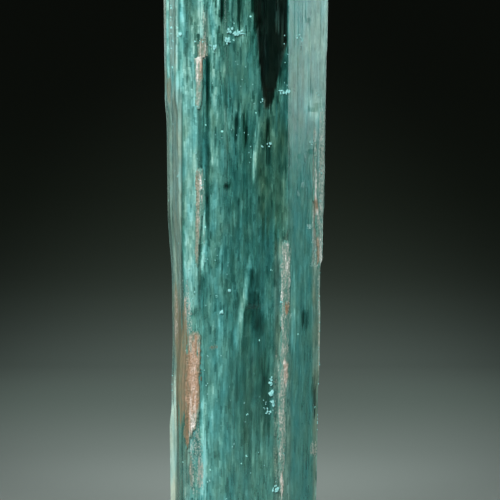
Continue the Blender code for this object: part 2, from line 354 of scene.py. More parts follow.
# The outline of each crust: rows of the picture, and the columns of its left and right edge there.
CRUST_OUTLINES = {
    "crust_left_upper": (
        (38, 200, 206), (46, 198, 207.5), (56, 197.5, 207.5), (58, 194.3, 203.2), (78, 194.3, 202.8),
        (84, 195, 202), (104, 195, 201.5), (110, 197, 199),
    ),
    "crust_left_middle": (
        (168, 197, 202), (172, 195, 203.5), (200, 195, 205), (208, 195, 204.5), (224, 195, 200),
        (255, 195, 199), (267, 196, 198.5),
    ),
    "crust_left_lower": (
        (330, 193, 198), (337, 188, 200), (352, 186, 200), (395, 185, 199.5), (418, 184.2, 198.5),
        (426, 184.2, 197), (438, 184.4, 191), (444, 184.5, 189), (449, 185, 188),
    ),
    "crust_front_right": (
        (240, 284, 289), (243, 281.5, 290.5), (262, 281, 290.5), (296, 280.5, 290), (318, 280.5, 289),
        (370, 279.5, 288.5), (400, 278, 287), (440, 277.5, 286), (475, 278.5, 285), (490, 280, 283.5),
        (511, 280.5, 283),
    ),
    "crust_right_edge": (
        (141, 314.2, 317), (160, 314, 317.2), (198, 314, 318), (213, 314.5, 320.5), (236, 316, 322),
        (262, 316.5, 323.5), (269, 319, 323),
    ),
}
CRUST_BITES = {"crust_front_right": 5.0}  # rows from one bite in its edge to the next, if not the usual
USUAL_BITES = 14.0
CRUST_TIP = 3  # how many rows a crust takes to reach its full width at its ends
BITE_SIZE = 2.4  # pixels
BITE_COLUMNS = 0.9
WAVER_SIZE = 0.7  # pixels, how far its edge wavers between bites
WAVER_COLUMNS, WAVER_ROWS = 3.0, 12.0
POCKET_INSET = (1.2, 1.6)  # pixels inside a crust's edge that its pocket starts, and takes to be deep
POCKET_INSETS = {"crust_left_lower": (2.6, 1.6)}  # where its edge runs across the crystal
POCKET_REMNANT = 0.10  # how much of a furrow's depth is open where no crust lies in it
UNSEEN = -9.0  # stands for far outside every outline


def seed_of(name):
    return sum(ord(letter) for letter in name)


def inside_crust(grid, name):
    """How many pixels each point of a grid lies inside a crust's ragged outline."""
    rows, lefts, rights = zip(*CRUST_OUTLINES[name])
    left, right = np.interp(grid.row, rows, lefts), np.interp(grid.row, rows, rights)
    seed = seed_of(name)
    waver = WAVER_SIZE * (lumps(grid.column / WAVER_COLUMNS, grid.row / WAVER_ROWS, seed) - 0.5)
    every = CRUST_BITES.get(name, USUAL_BITES)
    bite = BITE_SIZE * (lumps(grid.column / BITE_COLUMNS, grid.row / every, seed + 1) - 0.5)
    sides = np.minimum(grid.column - left, right - grid.column) + waver + bite
    ends = np.minimum(grid.row - rows[0], rows[-1] - grid.row) / CRUST_TIP
    return np.where(grid.seen, np.minimum(sides, ends), UNSEEN)


def pocket_shares(grid):
    shares = {}
    for name in CRUST_OUTLINES:
        start, full = POCKET_INSETS.get(name, POCKET_INSET)
        opened = smooth_step((inside_crust(grid, name) - start) / full)
        shares[name] = POCKET_REMNANT + (1 - POCKET_REMNANT) * opened
    return shares


# ---- Zones of the look, placed by the rows and columns of the picture ----

# name: (seed, value elsewhere, zones). Each zone is its top and bottom row, left and right column and
# value, and then, where they aren't the usual ones, its softness, the length of its ends, their
# raggedness, and the left and right column of its lower corners. Later zones lie over earlier ones.
ZONES = {
    # How much of the light the crystal's own veils and fibres throw back, where 0 is clear. Some zones
    # below also paint glints, highlights and sheen into it.
    "haze": (100, 0.5, (
        (-90, 600, 206, 224, 0.66, 8), (-90, 600, 222, 242, 0.56, 8), (-90, 600, 240, 258, 0.48, 8),
        (-90, 600, 256, 289, 0.46, 8), (-90, 58, 196, 222, 0.8, 8, 30, 30),
        (52, 116, 206, 226, 0.68, 8, 20, 30), (-90, 26, 222, 256, 0.48, 8, 20, 20),
        # The first zone on this line paints a band of glints across the top of the front lighter.
        (24, 40, 218, 254, 0.66, 8, 6, 12), (40, 58, 230, 256, 0.48, 8, 8, 16),
        (50, 116, 224, 262, 0.56, 8, 20, 30), (108, 170, 222, 240, 0.64, 8, 30, 40),
        (140, 262, 230, 286, 0.45, 14, 60, 40), (240, 315, 236, 258, 0.5, 10, 40, 40),
        (290, 370, 208, 240, 0.63, 12, 50, 40), (330, 600, 206, 226, 0.68, 8, 60),
        (290, 600, 224, 282, 0.545, 8, 60), (440, 600, 224, 282, 0.6, 8, 60),
        (330, 440, 240, 272, 0.42, 16, 60, 40), (370, 600, 270, 283, 0.62, 8, 60, 40),
        (240, 600, 279, 291, 0.7, 3, 20), (-90, 313, 184, 197, 0.84, 2.5, 5, 14),
        (205, 268, 200, 207, 0.86, 1.5, 10, 20), (-90, 60, 182, 197, 0.6, 4, 50, 50),
        (60, 112, 182, 195, 0.78, 3, 30, 30), (315, 600, 184, 206, 0.66, 4),
        (405, 500, 199, 206, 0.92, 2, 6, 20), (-90, 600, 289, 330, 0.625, 3),
        # The two zones on this line paint the top of the right face lighter, partly as a painted highlight
        # where it reflects the right-hand light.
        (-90, 110, 289, 330, 0.66, 3, 60), (-90, 90, 303, 330, 0.8, 6, 60, 60),
        (60, 600, 312, 330, 0.74, 3, 60, 30), (270, 345, 291, 296, 0.8, 2, 6, 24),
        (313, 330, 302, 309, 0.27, 2, 3, 10), (384, 414, 311, 316, 0.3, 3, 6, 20),
        # The second zone on this line paints a bright highlight line along the right silhouette.
        (96, 120, 305, 323, 0.86, 4, 10), (275, 440, 319, 330, 1, 1, 20),
        (360, 470, 278.3, 279.8, 0.9, 1, 20, 20), (345, 600, 300, 313, 0.57, 6, 60, 60),
        # The first zones on this line and the next two paint the left strip lighter at its top and darker
        # below: partly painted sheen, where the strip catches the lights.
        (-90, 110, 160, 184, 0.88, 2, 30, 30), (110, 215, 160, 184, 0.72, 2, 30, 30),
        (215, 340, 160, 184, 0.68, 2, 30, 30), (110, 310, 173, 182, 0.82, 2, 30, 30),
        (340, 600, 160, 184, 0.62, 2, 30, 30), (100, 320, 181, 183, 0.5, 1.5, 30),
        (108, 152, 256, 288, 0.52, 8, 14, 20), (166, 200, 260, 278, 0.47, 5, 6, 14),
        (176, 240, 283, 288, 0.58, 2, 6, 30), (-90, 60, 168, 169, 0.55, 1, 6, 40),
        (-90, 66, 174.5, 176, 0.66, 1, 6, 50), (-90, 90, 178, 179.5, 0.6, 1, 6, 50),
        (320, 380, 160, 174.5, 0.74, 1.5, 30, 30), (378, 600, 160, 175.5, 0.95, 1.2, 20),
        (395, 600, 176.5, 178, 0.34, 1, 20), (400, 600, 181.5, 183, 0.42, 1, 20, 50),
        (430, 600, 185.5, 187, 0.48, 1, 20, 50), (-90, 75, 170, 174, 0.98, 2, 10, 60),
        (262, 347, 247, 251.5, 0.84, 4, 6, 12, 233, 241), (272, 288, 250, 258.5, 0.28, 1.5, 2, 8),
        (284, 302, 248.5, 256, 0.4, 1.5, 3, 8), (295, 318, 248, 261, 0.26, 1.5, 2, 10),
        (311, 333, 243.5, 264.5, 0.29, 2, 3, 12), (326, 352, 245, 262, 0.42, 3, 6, 16),
        (184, 190, 224, 230, 0.15, 2, 2), (-90, 20, 237, 242, 0.22, 1.5, 6, 26),
        (-90, 18, 220, 224, 0.15, 2, 6, 16), (112, 140, 234.5, 238.5, 0.2, 2, 6, 34),
        (118, 137, 243, 247, 0.14, 2, 6, 24), (104, 150, 266, 270, 0.2, 1.5, 6, 50),
        (132, 172, 255, 259, 0.9, 3, 6, 24, 252, 256), (57, 102, 205.5, 209.5, 0.16, 1.5, 3),
        (100, 130, 206, 209.5, 0.3, 2, 12), (-10, 39, 201, 208, 0.66, 1.5, 10),
        # The two zones on this line and the first on the next paint bright glints: a cyan bar and a small
        # blob near the top left.
        (-90, 39, 197.5, 200.5, 0.86, 1.5, 4), (24, 37, 197.5, 200.5, 1, 1.5, 4),
        (32, 39, 176, 180.5, 1, 2, 3), (130, 230, 205, 209, 0.34, 2, 20, 30),
        (370, 425, 261, 270, 0.32, 3, 6, 30), (170, 243, 286, 288.5, 0.72, 1.5, 6, 20),
    )),
    # The clear window in the front face, and then the hazy spots in it. They lie over the haze.
    "window": (150, None, (
        (-120, 12, 251, 287.5, 0.11, 0.8, 1, 12), (-10, 36, 254, 287.2, 0.11, 0.8, 1, 14),
        (24, 48, 256.5, 286.5, 0.1, 0.8, 1, 14), (34, 66, 259, 284, 0.1, 0.8, 1, 16),
        (50, 80, 260.5, 281.5, 0.1, 0.8, 1, 14), (66, 92, 261, 278, 0.12, 0.8, 1, 12),
        (82, 100, 263, 274.5, 0.13, 0.8, 1, 12), (88, 108, 265.5, 271.5, 0.14, 0.8, 1, 12),
        (4, 28, 275.5, 279.5, 0.32, 1, 6, 16), (-20, 30, 284, 287, 0.17, 1, 6, 50),
        (56, 88, 281.5, 287.5, 0.3, 1, 6, 10), (86, 100, 277, 288, 0.5, 1.5, 6, 10),
        (36, 58, 264.5, 266, 0.24, 0.8), (26, 60, 281.5, 284, 0.22, 1, 6, 30),
        (60, 84, 278.5, 281.5, 0.24, 1, 6, 16), (24, 50, 255, 258.5, 0.36, 1, 6, 20),
        (86, 108, 258, 263, 0.42, 1, 6, 14),
    )),
    # Iron stain: 0 is none, a little is olive and tan, and 1 is orange rust.
    "rust": (200, 0.0, (
        (70, 98, 163, 172, 0.56, 3, 6, 16), (98, 215, 163, 172, 0.4, 5, 60, 60),
        (285, 345, 174, 180, 0.54, 3, 10, 40), (300, 428, 174.5, 189, 0.66, 3, 30, 50),
        (262, 335, 184, 188, 0.34, 2, 6, 20, 187, 191), (350, 425, 182, 190, 0.74, 3, 20, 24),
        (395, 446, 184, 188.5, 0.95, 2, 6, 20, 186, 189), (430, 489, 180, 190, 0.42, 3, 30, 40),
        (455, 489, 189, 192, 0.54, 2, 6, 16), (345, 352, 208, 218, 0.56, 2, 6, 6),
        (196, 262, 314, 317, 0.5, 2, 6, 30),
    )),
    # Pale granular growth, pink to white.
    "pale": (300, 0.0, (
        (12, 58, 201.5, 206, 0.46, 2, 6, 30), (120, 262, 313.5, 317, 0.55, 1.5, 6, 24),
        # The second zone on this line is pale growth at the right edge, and also paints the bright
        # highlight line along the right silhouette.
        (110, 268, 319.5, 328, 0.66, 1.5, 6, 40), (268, 600, 318, 328, 0.5, 2, 6, 40),
        (443, 456, 310.5, 317, 0.75, 2, 6, 4), (-90, 70, 160, 166.5, 0.64, 2, 30, 30),
        (286, 340, 182, 189, 0.6, 2, 6, 24, 187, 194), (292, 342, 173.5, 179, 0.46, 2, 6, 24),
        (428, 489, 189, 203, 0.36, 3, 6, 30), (424, 456, 190, 199, 0.52, 2, 6, 16),
        (462, 487, 189.5, 193, 0.62, 1, 2, 8), (461, 487, 197, 203, 0.76, 1, 2, 8),
        (360, 490, 273, 281, 0.34, 4, 6, 60), (330, 400, 187, 192, 0.4, 2, 6, 24),
        (222, 266, 201.5, 205, 0.32, 1.5, 6, 20),
    )),
    # How strong the haze's streaks are.
    "calm": (400, 1.0, (
        (-90, 600, 289, 330, 0.45, 4), (-90, 100, 160, 184, 0.7, 4), (100, 600, 160, 184, 0.32, 4),
        (110, 320, 184, 197, 0.6, 4, 30), (-90, 120, 196, 262, 1.2, 8, 40),
        (48, 98, 226, 260, 0.5, 8, 20, 20), (110, 280, 206, 288, 0.9, 8, 40),
        (280, 340, 206, 288, 0.85, 8, 40), (340, 600, 200, 288, 0.65, 8, 60),
    )),
    # A dull olive tinge inside the crystal.
    "olive": (500, 0.0, (
        (105, 232, 256, 288, 0.85, 10, 30, 50), (168, 200, 260, 278, 1, 5, 8, 16),
        (60, 100, 222, 262, 0.6, 10, 20, 40), (215, 345, 162, 184, 0.25, 3, 60),
        (-90, 150, 206, 262, 0.3, 10, 60), (270, 600, 313, 330, 0.55, 4, 60),
        (330, 600, 240, 285, 0.35, 10, 60, 40), (64, 130, 290, 330, 0.12, 6, 30, 30),
        (34, 84, 292, 312, 0.3, 4, 16, 20), (330, 600, 172, 186, 0.25, 3, 30),
    )),
    # A grey, milky look: painted sheen on the left strip and on the right face, where they catch the
    # lights, and a greyer tint of the crystal elsewhere.
    "grey": (600, 0.0, (
        (-90, 70, 160, 166, 0.4, 2, 6, 30), (90, 340, 160, 182, 0.62, 2, 30),
        (320, 600, 160, 177, 0.75, 2, 30), (430, 600, 177, 190, 0.35, 3, 30),
        (60, 125, 292, 330, 0.3, 5, 30, 30), (-90, 90, 303, 330, 0.36, 5, 30),
        (-90, 313, 183, 200, 0.18, 3, 10), (-90, 66, 168, 178, 0.42, 3, 10),
        (10, 58, 200, 208, 0.45, 2, 10), (125, 600, 313, 330, 0.55, 3, 30),
        # The first zone on this line greys the painted highlight line along the right silhouette.
        (275, 440, 319, 330, 0.95, 1, 20), (240, 520, 274, 291, 0.35, 4, 6, 20),
        (-120, 46, 240, 288, 0.7, 2, 1, 0, 258, 287), (45, 107, 258, 287, 0.7, 2, 4, 0, 264, 270),
    )),
    # How many painted glints there are: bright specks painted into the crystal's colour.
    "painted_glint_density": (700, 1.0, (
        (-90, 160, 160, 258, 2.6, 8, 60), (22, 48, 208, 254, 6, 6, 8), (50, 100, 226, 260, 0.6, 6, 8),
        (240, 320, 198, 232, 2, 8, 40), (110, 300, 236, 290, 0.4, 8, 20), (-90, 600, 290, 330, 0.5, 4),
    )),
    # How stained the crusts are: 0 is pale grey, and 1 is orange.
    "stain": (800, 0.0, (
        (36, 58, 190, 210, 0.5), (56, 80, 190, 199.5, 0.34), (56, 80, 199.5, 210, 0.66),
        (80, 114, 190, 210, 0.32), (160, 270, 190, 200, 0.46, 3), (160, 222, 200, 208, 0.16, 3),
        (330, 350, 180, 204, 0.5, 2, 10), (345, 425, 180, 204, 0.8, 2, 6, 30),
        (412, 452, 190, 204, 0.46, 3, 6, 24), (404, 450, 180, 189, 1, 2, 6, 16),
        (240, 520, 276, 294, 0.14), (303, 313, 285, 289, 0.8, 2, 6, 6),
        (362, 384, 283.5, 288.5, 0.62, 1.5, 6, 6), (474, 500, 280, 283, 0.5, 1.5, 6, 6),
        (140, 270, 312, 326, 0.14), (145, 198, 314, 317, 0.3, 1, 6, 20),
        (197, 213, 314, 318, 0.78, 1, 6, 8), (237, 262, 316, 319, 0.74, 1, 6, 8),
    )),
    # How white the crusts are, over what their grain gives.
    "white": (900, 0.0, (
        (38, 58, 198, 207, 0.22, 3, 6, 8), (48, 57, 201, 207, 0.34, 2, 6, 8),
        (57, 63, 195, 204, 0.52, 2, 2), (62, 84, 195.5, 198.5, 0.34, 1.5, 6, 8),
        (62, 80, 199, 203, 0.1, 1.5), (84, 110, 194, 203, 0.14, 2, 6, 8),
        (180, 200, 199.5, 201.5, 0.5, 1.5, 6, 0, 201, 203.5), (189, 195, 200.5, 203.5, -0.5, 1.5, 3),
        (200, 222, 199, 206, -0.1, 2, 6, 10), (166, 267, 194, 199, -0.08),
        (345, 400, 191, 196, 0.22, 3, 6, 20), (345, 400, 184, 189, -0.16, 3, 6, 20),
        (398, 432, 189.5, 196, 0.3, 2, 6, 16), (404, 450, 183, 189, -0.3, 1.5, 6, 10),
        (241, 246, 284, 289, 0.45, 2, 2), (260, 272, 285, 288.5, 0.26, 2, 6, 6),
        (250, 320, 280, 282.5, 0.22, 1.5, 6, 20), (262, 340, 288.5, 291, 0.2, 1.5, 6, 20),
        (280, 340, 283.5, 287.5, -0.2, 1.5, 6, 20), (296, 500, 284, 287, -0.16, 2, 6, 30),
        (362, 384, 283.5, 288.5, 0.34, 1.5, 6, 6), (474, 500, 280, 283, 0.4, 1.5, 6, 6),
        (400, 470, 278, 285, 0.04, 2, 6, 50), (145, 200, 314.4, 316.6, 0.48, 1),
        (209, 215, 314.4, 317.5, 0.6, 1, 2), (237, 262, 316, 319, 0.16, 1), (214, 268, 319.5, 324, 0.3, 1),
    )),
    # Where the striations are faint.
    "sleek": (950, 0.0, (
        (-90, 600, 160, 181, 0.85, 3),
    )),
    # How much of the crystal the crusts hide.
    "cover": (970, 1.0, (
        (30, 57, 190, 210, 0.52, 2, 8), (80, 114, 190, 210, 0.4, 2, 20), (196, 224, 199.5, 208, 0.5),
        (205, 275, 190, 200, 0.62, 2, 30), (140, 270, 312, 326, 0.85),
    )),
}

SHORT = fibres(CRYSTAL.places, CRYSTAL.levels, 0.30 * MM, 3 * MM, 14)
BROAD = fibres(CRYSTAL.places, CRYSTAL.levels, 0.80 * MM, 6 * MM, 15)
FINE = fibres(CRYSTAL.places, CRYSTAL.levels, 0.17 * MM, 6 * MM, 11)
MEDIUM = fibres(CRYSTAL.places, CRYSTAL.levels, 0.40 * MM, 9 * MM, 12)
WIDE = fibres(CRYSTAL.places, CRYSTAL.levels, 1.10 * MM, 16 * MM, 13)
STREAKS = ((0.45, SHORT), (0.35, BROAD), (0.20, WIDE))
STREAK_STRENGTH = 0.40
STREAK_LEAST = 0.25  # of what they are at full haze, where it is clear
HIDDEN_ZONES = 46  # clear and hazy zones on the faces that the picture doesn't show
HIDDEN_SEED = 5
HIDDEN_TEETH_SEED = 600
HIDDEN_DROP = 5 * MM  # by how much their ends differ from fibre to fibre
HIDDEN_HALF_WIDTHS = (0.4, 2.6)  # mm
HIDDEN_BOTTOMS = (-10 * MM, 80 * MM)
HIDDEN_LENGTHS = (8 * MM, 46 * MM)
HIDDEN_HAZES = (0.12, 0.22, 0.35, 0.62, 0.72, 0.88)
HIDDEN_SOFTNESS = (0.5 * MM, 2 * MM)  # across and along
WINDOW_BACK = 0.03  # the haze of the back faces where the window looks through at them
WINDOW_EXTENT = (-120, 108, 251, 287.5)  # its top and bottom row, and its left and right column
BACK_DROP = 110.0  # rows by which the clear part of the back reaches lower in some fibres than in others
BACK_TEETH = 0.9 * MM
BACK_SEED = 61
BACK_SOFTNESS = (10.0, 24.0)  # pixels, across and along


def uneven_ends(teeth, seed):
    return fibres(CRYSTAL.places, CRYSTAL.levels[:1], teeth, HEIGHT, seed)


def hidden_zones(haze):
    """Clear and hazy zones like the front's, on the faces that the camera doesn't see."""
    rng = random.Random(HIDDEN_SEED)
    across, along = HIDDEN_SOFTNESS
    for k in range(HIDDEN_ZONES):
        centre = rng.uniform(0, ROUND)
        half = rng.uniform(*HIDDEN_HALF_WIDTHS) * MM
        bottom = rng.uniform(*HIDDEN_BOTTOMS)
        top = bottom + rng.uniform(*HIDDEN_LENGTHS)
        value = rng.choice(HIDDEN_HAZES)
        shift = HIDDEN_DROP * (uneven_ends(COARSE_TEETH, HIDDEN_TEETH_SEED + k) - 0.5)
        off = abs(gap_between(centre, CRYSTAL.places))[:, None]
        height = CRYSTAL.levels[None, :] + shift
        mask = band(off, -1.0, half, across) * band(height, bottom, top, along) * ~CRYSTAL.seen
        haze = haze + (value - haze) * mask
    return haze


def behind_window():
    """The back faces that the clear window looks through at."""
    top, bottom, left, right = WINDOW_EXTENT
    across, along = BACK_SOFTNESS
    row = CRYSTAL.row - BACK_DROP * uneven_ends(BACK_TEETH, BACK_SEED)
    return band(CRYSTAL.column, left, right, across) * band(row, top, bottom, along) * ~CRYSTAL.seen


def haze_map():
    haze = hidden_zones(zone_map(CRYSTAL, "haze"))
    streak = sum(share * values for share, values in STREAKS) - 0.5
    haze += STREAK_STRENGTH * streak * (STREAK_LEAST + haze) * zone_map(CRYSTAL, "calm")
    haze = zone_map(CRYSTAL, "window", haze)
    return np.clip(haze + (WINDOW_BACK - haze) * behind_window(), 0, 1)


# ---- The crystal's fine mesh ----

ROUND_SEAM = place("back", 0.5)  # where the count round the section starts again
ENDS_LEAST_SLOPE = 0.35  # faces whose normals point up or down by more than this belong to the ends
TOUCHING = 1e-7  # points nearer than this to a cutting plane lie on it
STRIATIONS = ((0.012 * MM, FINE), (0.03 * MM, MEDIUM), (0.07 * MM, WIDE))  # depth, and fibres
CLEAR_RELIEF = 0.25  # share of the striations' depth that is left where the crystal is clear
FULL_RELIEF_HAZE = 0.25  # the haze from which they are at their full depth


def relief(haze):
    """How far the fine striations move the surface in. They are faint where the crystal is clear."""
    deep = sum(depth * values for depth, values in STRIATIONS)
    share = CLEAR_RELIEF + (1 - CLEAR_RELIEF) * smooth_step(haze / FULL_RELIEF_HAZE)
    return deep * (1 - zone_map(CRYSTAL, "sleek")) * share


def cut_off(mesh, point, normal):
    """Cuts away what lies beyond a plane, and closes the cut with a flat face."""
    everything = mesh.verts[:] + mesh.edges[:] + mesh.faces[:]
    cut = bmesh.ops.bisect_plane(
        mesh, geom=everything, dist=TOUCHING, plane_co=point, plane_no=normal, clear_outer=True
    )
    edges = [e for e in cut["geom_cut"] if isinstance(e, bmesh.types.BMEdge)]
    bmesh.ops.contextual_create(mesh, geom=edges)


def pyramid_plane(face, shoulder):
    """A point and the normal of the pyramid face that starts at a prism face's shoulder height."""
    flat = face_normal(face)
    lean = math.radians(PYRAMID_LEAN)
    normal = Vector((flat.x * math.sin(lean), flat.y * math.sin(lean), math.cos(lean)))
    edge = flat * float(face_distance(face, shoulder))
    return Vector((edge.x, edge.y, shoulder)), normal


def chip_plane(angle_degrees, height, lean_degrees):
    """A point and the outward normal of a chip on the rim of the base."""
    angle, lean = math.radians(angle_degrees), math.radians(lean_degrees)
    way = Vector((math.sin(angle), -math.cos(angle)))
    reach = max(way.dot(Vector(point)) for point in corners(0.0))
    normal = Vector((way.x * math.cos(lean), way.y * math.cos(lean), -math.sin(lean)))
    return Vector((way.x * reach, way.y * reach, height)), normal


def object_from(mesh, name, *materials):
    data = bpy.data.meshes.new(name)
    mesh.to_mesh(data)
    mesh.free()
    for material in materials:
        data.materials.append(material)
    made = bpy.data.objects.new(name, data)
    bpy.context.scene.collection.objects.link(made)
    return made


def closed_object(mesh, name, material):
    """An object from closed shells, whose normals are turned out first."""
    bmesh.ops.recalc_face_normals(mesh, faces=mesh.faces)
    return object_from(mesh, name, material)


def build_crystal(material):
    places, levels = CRYSTAL.places, CRYSTAL.levels
    maps = {name: zone_map(CRYSTAL, name) for name in ("rust", "pale", "olive", "grey", "calm", "painted_glint_density")}
    maps["haze"] = haze_map()
    maps["frost"] = behind_window()
    maps["round"] = ((places - ROUND_SEAM) % ROUND / MM)[:, None] + 0 * levels
    depth = furrow_depth(places[:, None], levels[None, :], pocket_shares(CRYSTAL))
    surface = moved_in(CRYSTAL.flat, depth + relief(maps["haze"]))
    across, along = surface.shape[:2]
    mesh = bmesh.new()
    layers = {name: mesh.verts.layers.float.new(name) for name in maps}
    rings = []
    for j in range(along):
        ring = []
        for i in range(across):
            vertex = mesh.verts.new((surface[i, j, 0], surface[i, j, 1], levels[j]))
            for name, layer in layers.items():
                vertex[layer] = maps[name][i, j]
            ring.append(vertex)
        rings.append(ring)
    add_walls(mesh, rings)
    mesh.faces.new(rings[0])
    mesh.faces.new(rings[-1])
    for chip in BASE_CHIPS:
        cut_off(mesh, *chip_plane(*chip))
    cut_off(mesh, Vector((0, 0, 0)), Vector((0, 0, -1)))
    for face, shoulder in PYRAMID_SHOULDERS.items():
        cut_off(mesh, *pyramid_plane(face, shoulder))
    cut_off(mesh, Vector((0, 0, HEIGHT)), Vector((0, 0, 1)))
    bmesh.ops.triangulate(mesh, faces=[f for f in mesh.faces if len(f.verts) > 4])
    bmesh.ops.recalc_face_normals(mesh, faces=mesh.faces)
    bmesh.ops.translate(mesh, verts=mesh.verts, vec=(*SHIFT, 0))
    for face in mesh.faces:
        face.material_index = int(abs(face.normal.z) > ENDS_LEAST_SLOPE)
    return object_from(mesh, "crystal", material, ends_material())


def add_walls(mesh, rings):
    """The faces between rings of points that lie one above the other."""
    for low, high in zip(rings, rings[1:]):
        for i in range(len(low)):
            k = (i + 1) % len(low)
            mesh.faces.new((low[i], low[k], high[k], high[i]))


# ---- The crusts ----

CRUST_ACROSS = 0.055 * MM
CRUST_ALONG = 0.080 * MM
CRUST_MARGIN = 3  # pixels past its outline that a crust's grid reaches
CRUST_GRAIN = 0.07 * MM  # how far its grains stand out of the crystal's surface
CRUST_LUMP = 0.03 * MM
CRUST_ROOT = 0.05 * MM  # how deep its underside lies where it has no pocket
CRUST_CLEAR = 0.03 * MM  # between its underside and the bottom of its pocket
CRUST_OFFSET = 100  # mm, keeps the places that its grains are counted from above zero
GRAIN_SIZE = (0.16, 0.20)  # mm across and along
GRAIN_SHARPNESS = 1.5
GRAIN_REACH = 1.4  # pixels of the outline's raggedness that come from the grains
LUMP_SIZE = (0.34, 0.60)
FULL_HEIGHT = 1.6  # pixels inside its outline that a crust stands as high as it gets
FULL_COVER = 2.6  # pixels inside its outline that the crystal's colour no longer shows through
TOUCHING_ROUNDS = 6


def crust_grid(name):
    """A fine grid over the part of the surface that a crust's outline covers."""
    rows, lefts, rights = zip(*CRUST_OUTLINES[name])
    starts = [spot(left - CRUST_MARGIN, row)[0] for row, left in zip(rows, lefts)]
    ends = [spot(right + CRUST_MARGIN, row)[0] for row, right in zip(rows, rights)]
    top, bottom = spot(lefts[0], rows[0])[1], spot(lefts[-1], rows[-1])[1]
    across = round((max(ends) - min(starts)) / CRUST_ACROSS) + 1
    along = round((top - bottom) / CRUST_ALONG) + 1
    return Grid(np.linspace(min(starts), max(ends), across), np.linspace(bottom, top, along))


def build_crust(name, material):
    """A furrow's granular filling. It is ragged and thin at its edges, where it lies on the crystal."""
    seed = seed_of(name)
    grid = crust_grid(name)
    places, levels = grid.places[:, None], grid.levels[None, :]
    x, z = np.broadcast_arrays(places / MM + CRUST_OFFSET, levels / MM)
    grain = lumps(x / GRAIN_SIZE[0], z / GRAIN_SIZE[1], seed + 2)
    middle = lumps(x / LUMP_SIZE[0], z / LUMP_SIZE[1], seed + 3)
    inside = inside_crust(grid, name) + GRAIN_REACH * (grain - 0.5)
    rough = CRUST_GRAIN * grain ** GRAIN_SHARPNESS + CRUST_LUMP * middle
    proud = smooth_step(inside / FULL_HEIGHT) * rough
    shares = {other: 0.0 for other in CRUST_OUTLINES}
    shares[name] = pocket_shares(grid)[name]
    pocket = furrow_depth(places, levels, shares)
    height = np.broadcast_to(grid.levels, inside.shape)
    outer = np.dstack((moved_in(grid.flat, -proud), height))
    inner = np.dstack((moved_in(grid.flat, np.maximum(pocket - CRUST_CLEAR, CRUST_ROOT)), height))
    maps = {
        "stain": np.clip(zone_map(grid, "stain"), 0, 1),
        "white": zone_map(grid, "white"),
        "edge": smooth_step(inside / FULL_COVER) * zone_map(grid, "cover"),
        "round": (grid.places / MM)[:, None] + 0 * grid.levels,
    }
    return shell_between(outer, inner, covered_cells(inside > 0), maps, name + "_grains", material)


def covered_cells(cover):
    """The grid's cells that a growth covers, without single ones that only meet at a corner."""
    cells = cover[:-1, :-1] & cover[1:, :-1] & cover[:-1, 1:] & cover[1:, 1:]
    for _ in range(TOUCHING_ROUNDS):
        a, b, c, d = cells[:-1, :-1], cells[1:, 1:], cells[1:, :-1], cells[:-1, 1:]
        touching = (a & b & ~c & ~d) | (~a & ~b & c & d)
        if not touching.any():
            break
        cells[1:, :-1] |= touching & a
        cells[:-1, :-1] |= touching & c
    return cells


def shell_between(outer, inner, cells, maps, name, material):
    """A closed mesh between two grids of points, over the cells chosen, that carries the maps."""
    mesh = bmesh.new()
    layers = {key: mesh.verts.layers.float.new(key) for key in maps}
    made = {}

    def vertex(side, i, j):
        if (side, i, j) not in made:
            made[side, i, j] = mesh.verts.new((outer, inner)[side][i, j])
            for key, layer in layers.items():
                made[side, i, j][layer] = maps[key][i, j]
        return made[side, i, j]

    rows, columns = cells.shape

    def covered(i, j):
        return 0 <= i < rows and 0 <= j < columns and cells[i, j]

    for i, j in np.argwhere(cells):
        ring = [(i, j), (i + 1, j), (i + 1, j + 1), (i, j + 1)]
        mesh.faces.new([vertex(0, *at) for at in ring])
        mesh.faces.new([vertex(1, *at) for at in reversed(ring)])
        beyond = [(i, j - 1), (i + 1, j), (i, j + 1), (i - 1, j)]
        for start, end, other in zip(ring, ring[1:] + ring[:1], beyond):
            if not covered(*other):
                wall = [vertex(0, *end), vertex(0, *start), vertex(1, *start), vertex(1, *end)]
                mesh.faces.new(wall)
    bmesh.ops.translate(mesh, verts=mesh.verts, vec=(*SHIFT, 0))
    return closed_object(mesh, name, material)


# ---- Inclusions: closed slivers inside the crystal, and facets on it ----

UP = Vector((0, 0, 1))
NEARBY = 0.1 * MM  # a step round the section that gives the surface's direction


def surface_at(s, z, depth):
    """A point so far inside the surface, and the directions along and out of the surface there."""
    at = np.array([s % ROUND, (s + NEARBY) % ROUND])
    points = moved_in(flat_surface(at, np.array([z])), depth)[:, 0]
    along = Vector((*(points[1] - points[0]), 0)).normalized()
    return Vector((*(points[0] + SHIFT), z)), along, along.cross(UP)


def add_sliver(mesh, centre, wide, tall, thin, sides, rng, ragged=0.75):
    """A flat closed lens with a ragged rim. wide, tall and thin are its half extents, as vectors."""
    rim = []
    for k in range(sides):
        angle = 2 * math.pi * (k + rng.uniform(-0.3, 0.3)) / sides
        reach = rng.uniform(ragged, 1.0)
        rim.append(mesh.verts.new(centre + (wide * math.cos(angle) + tall * math.sin(angle)) * reach))
    front, back = mesh.verts.new(centre + thin), mesh.verts.new(centre - thin)
    for start, end in zip(rim, rim[1:] + rim[:1]):
        mesh.faces.new((start, end, front))
        mesh.faces.new((end, start, back))


SLIVER_FOOT, SLIVER_HEAD = 2 * MM, 7 * MM  # how far they stay from the crystal's ends
SLIVER_LEAN = 3  # degrees


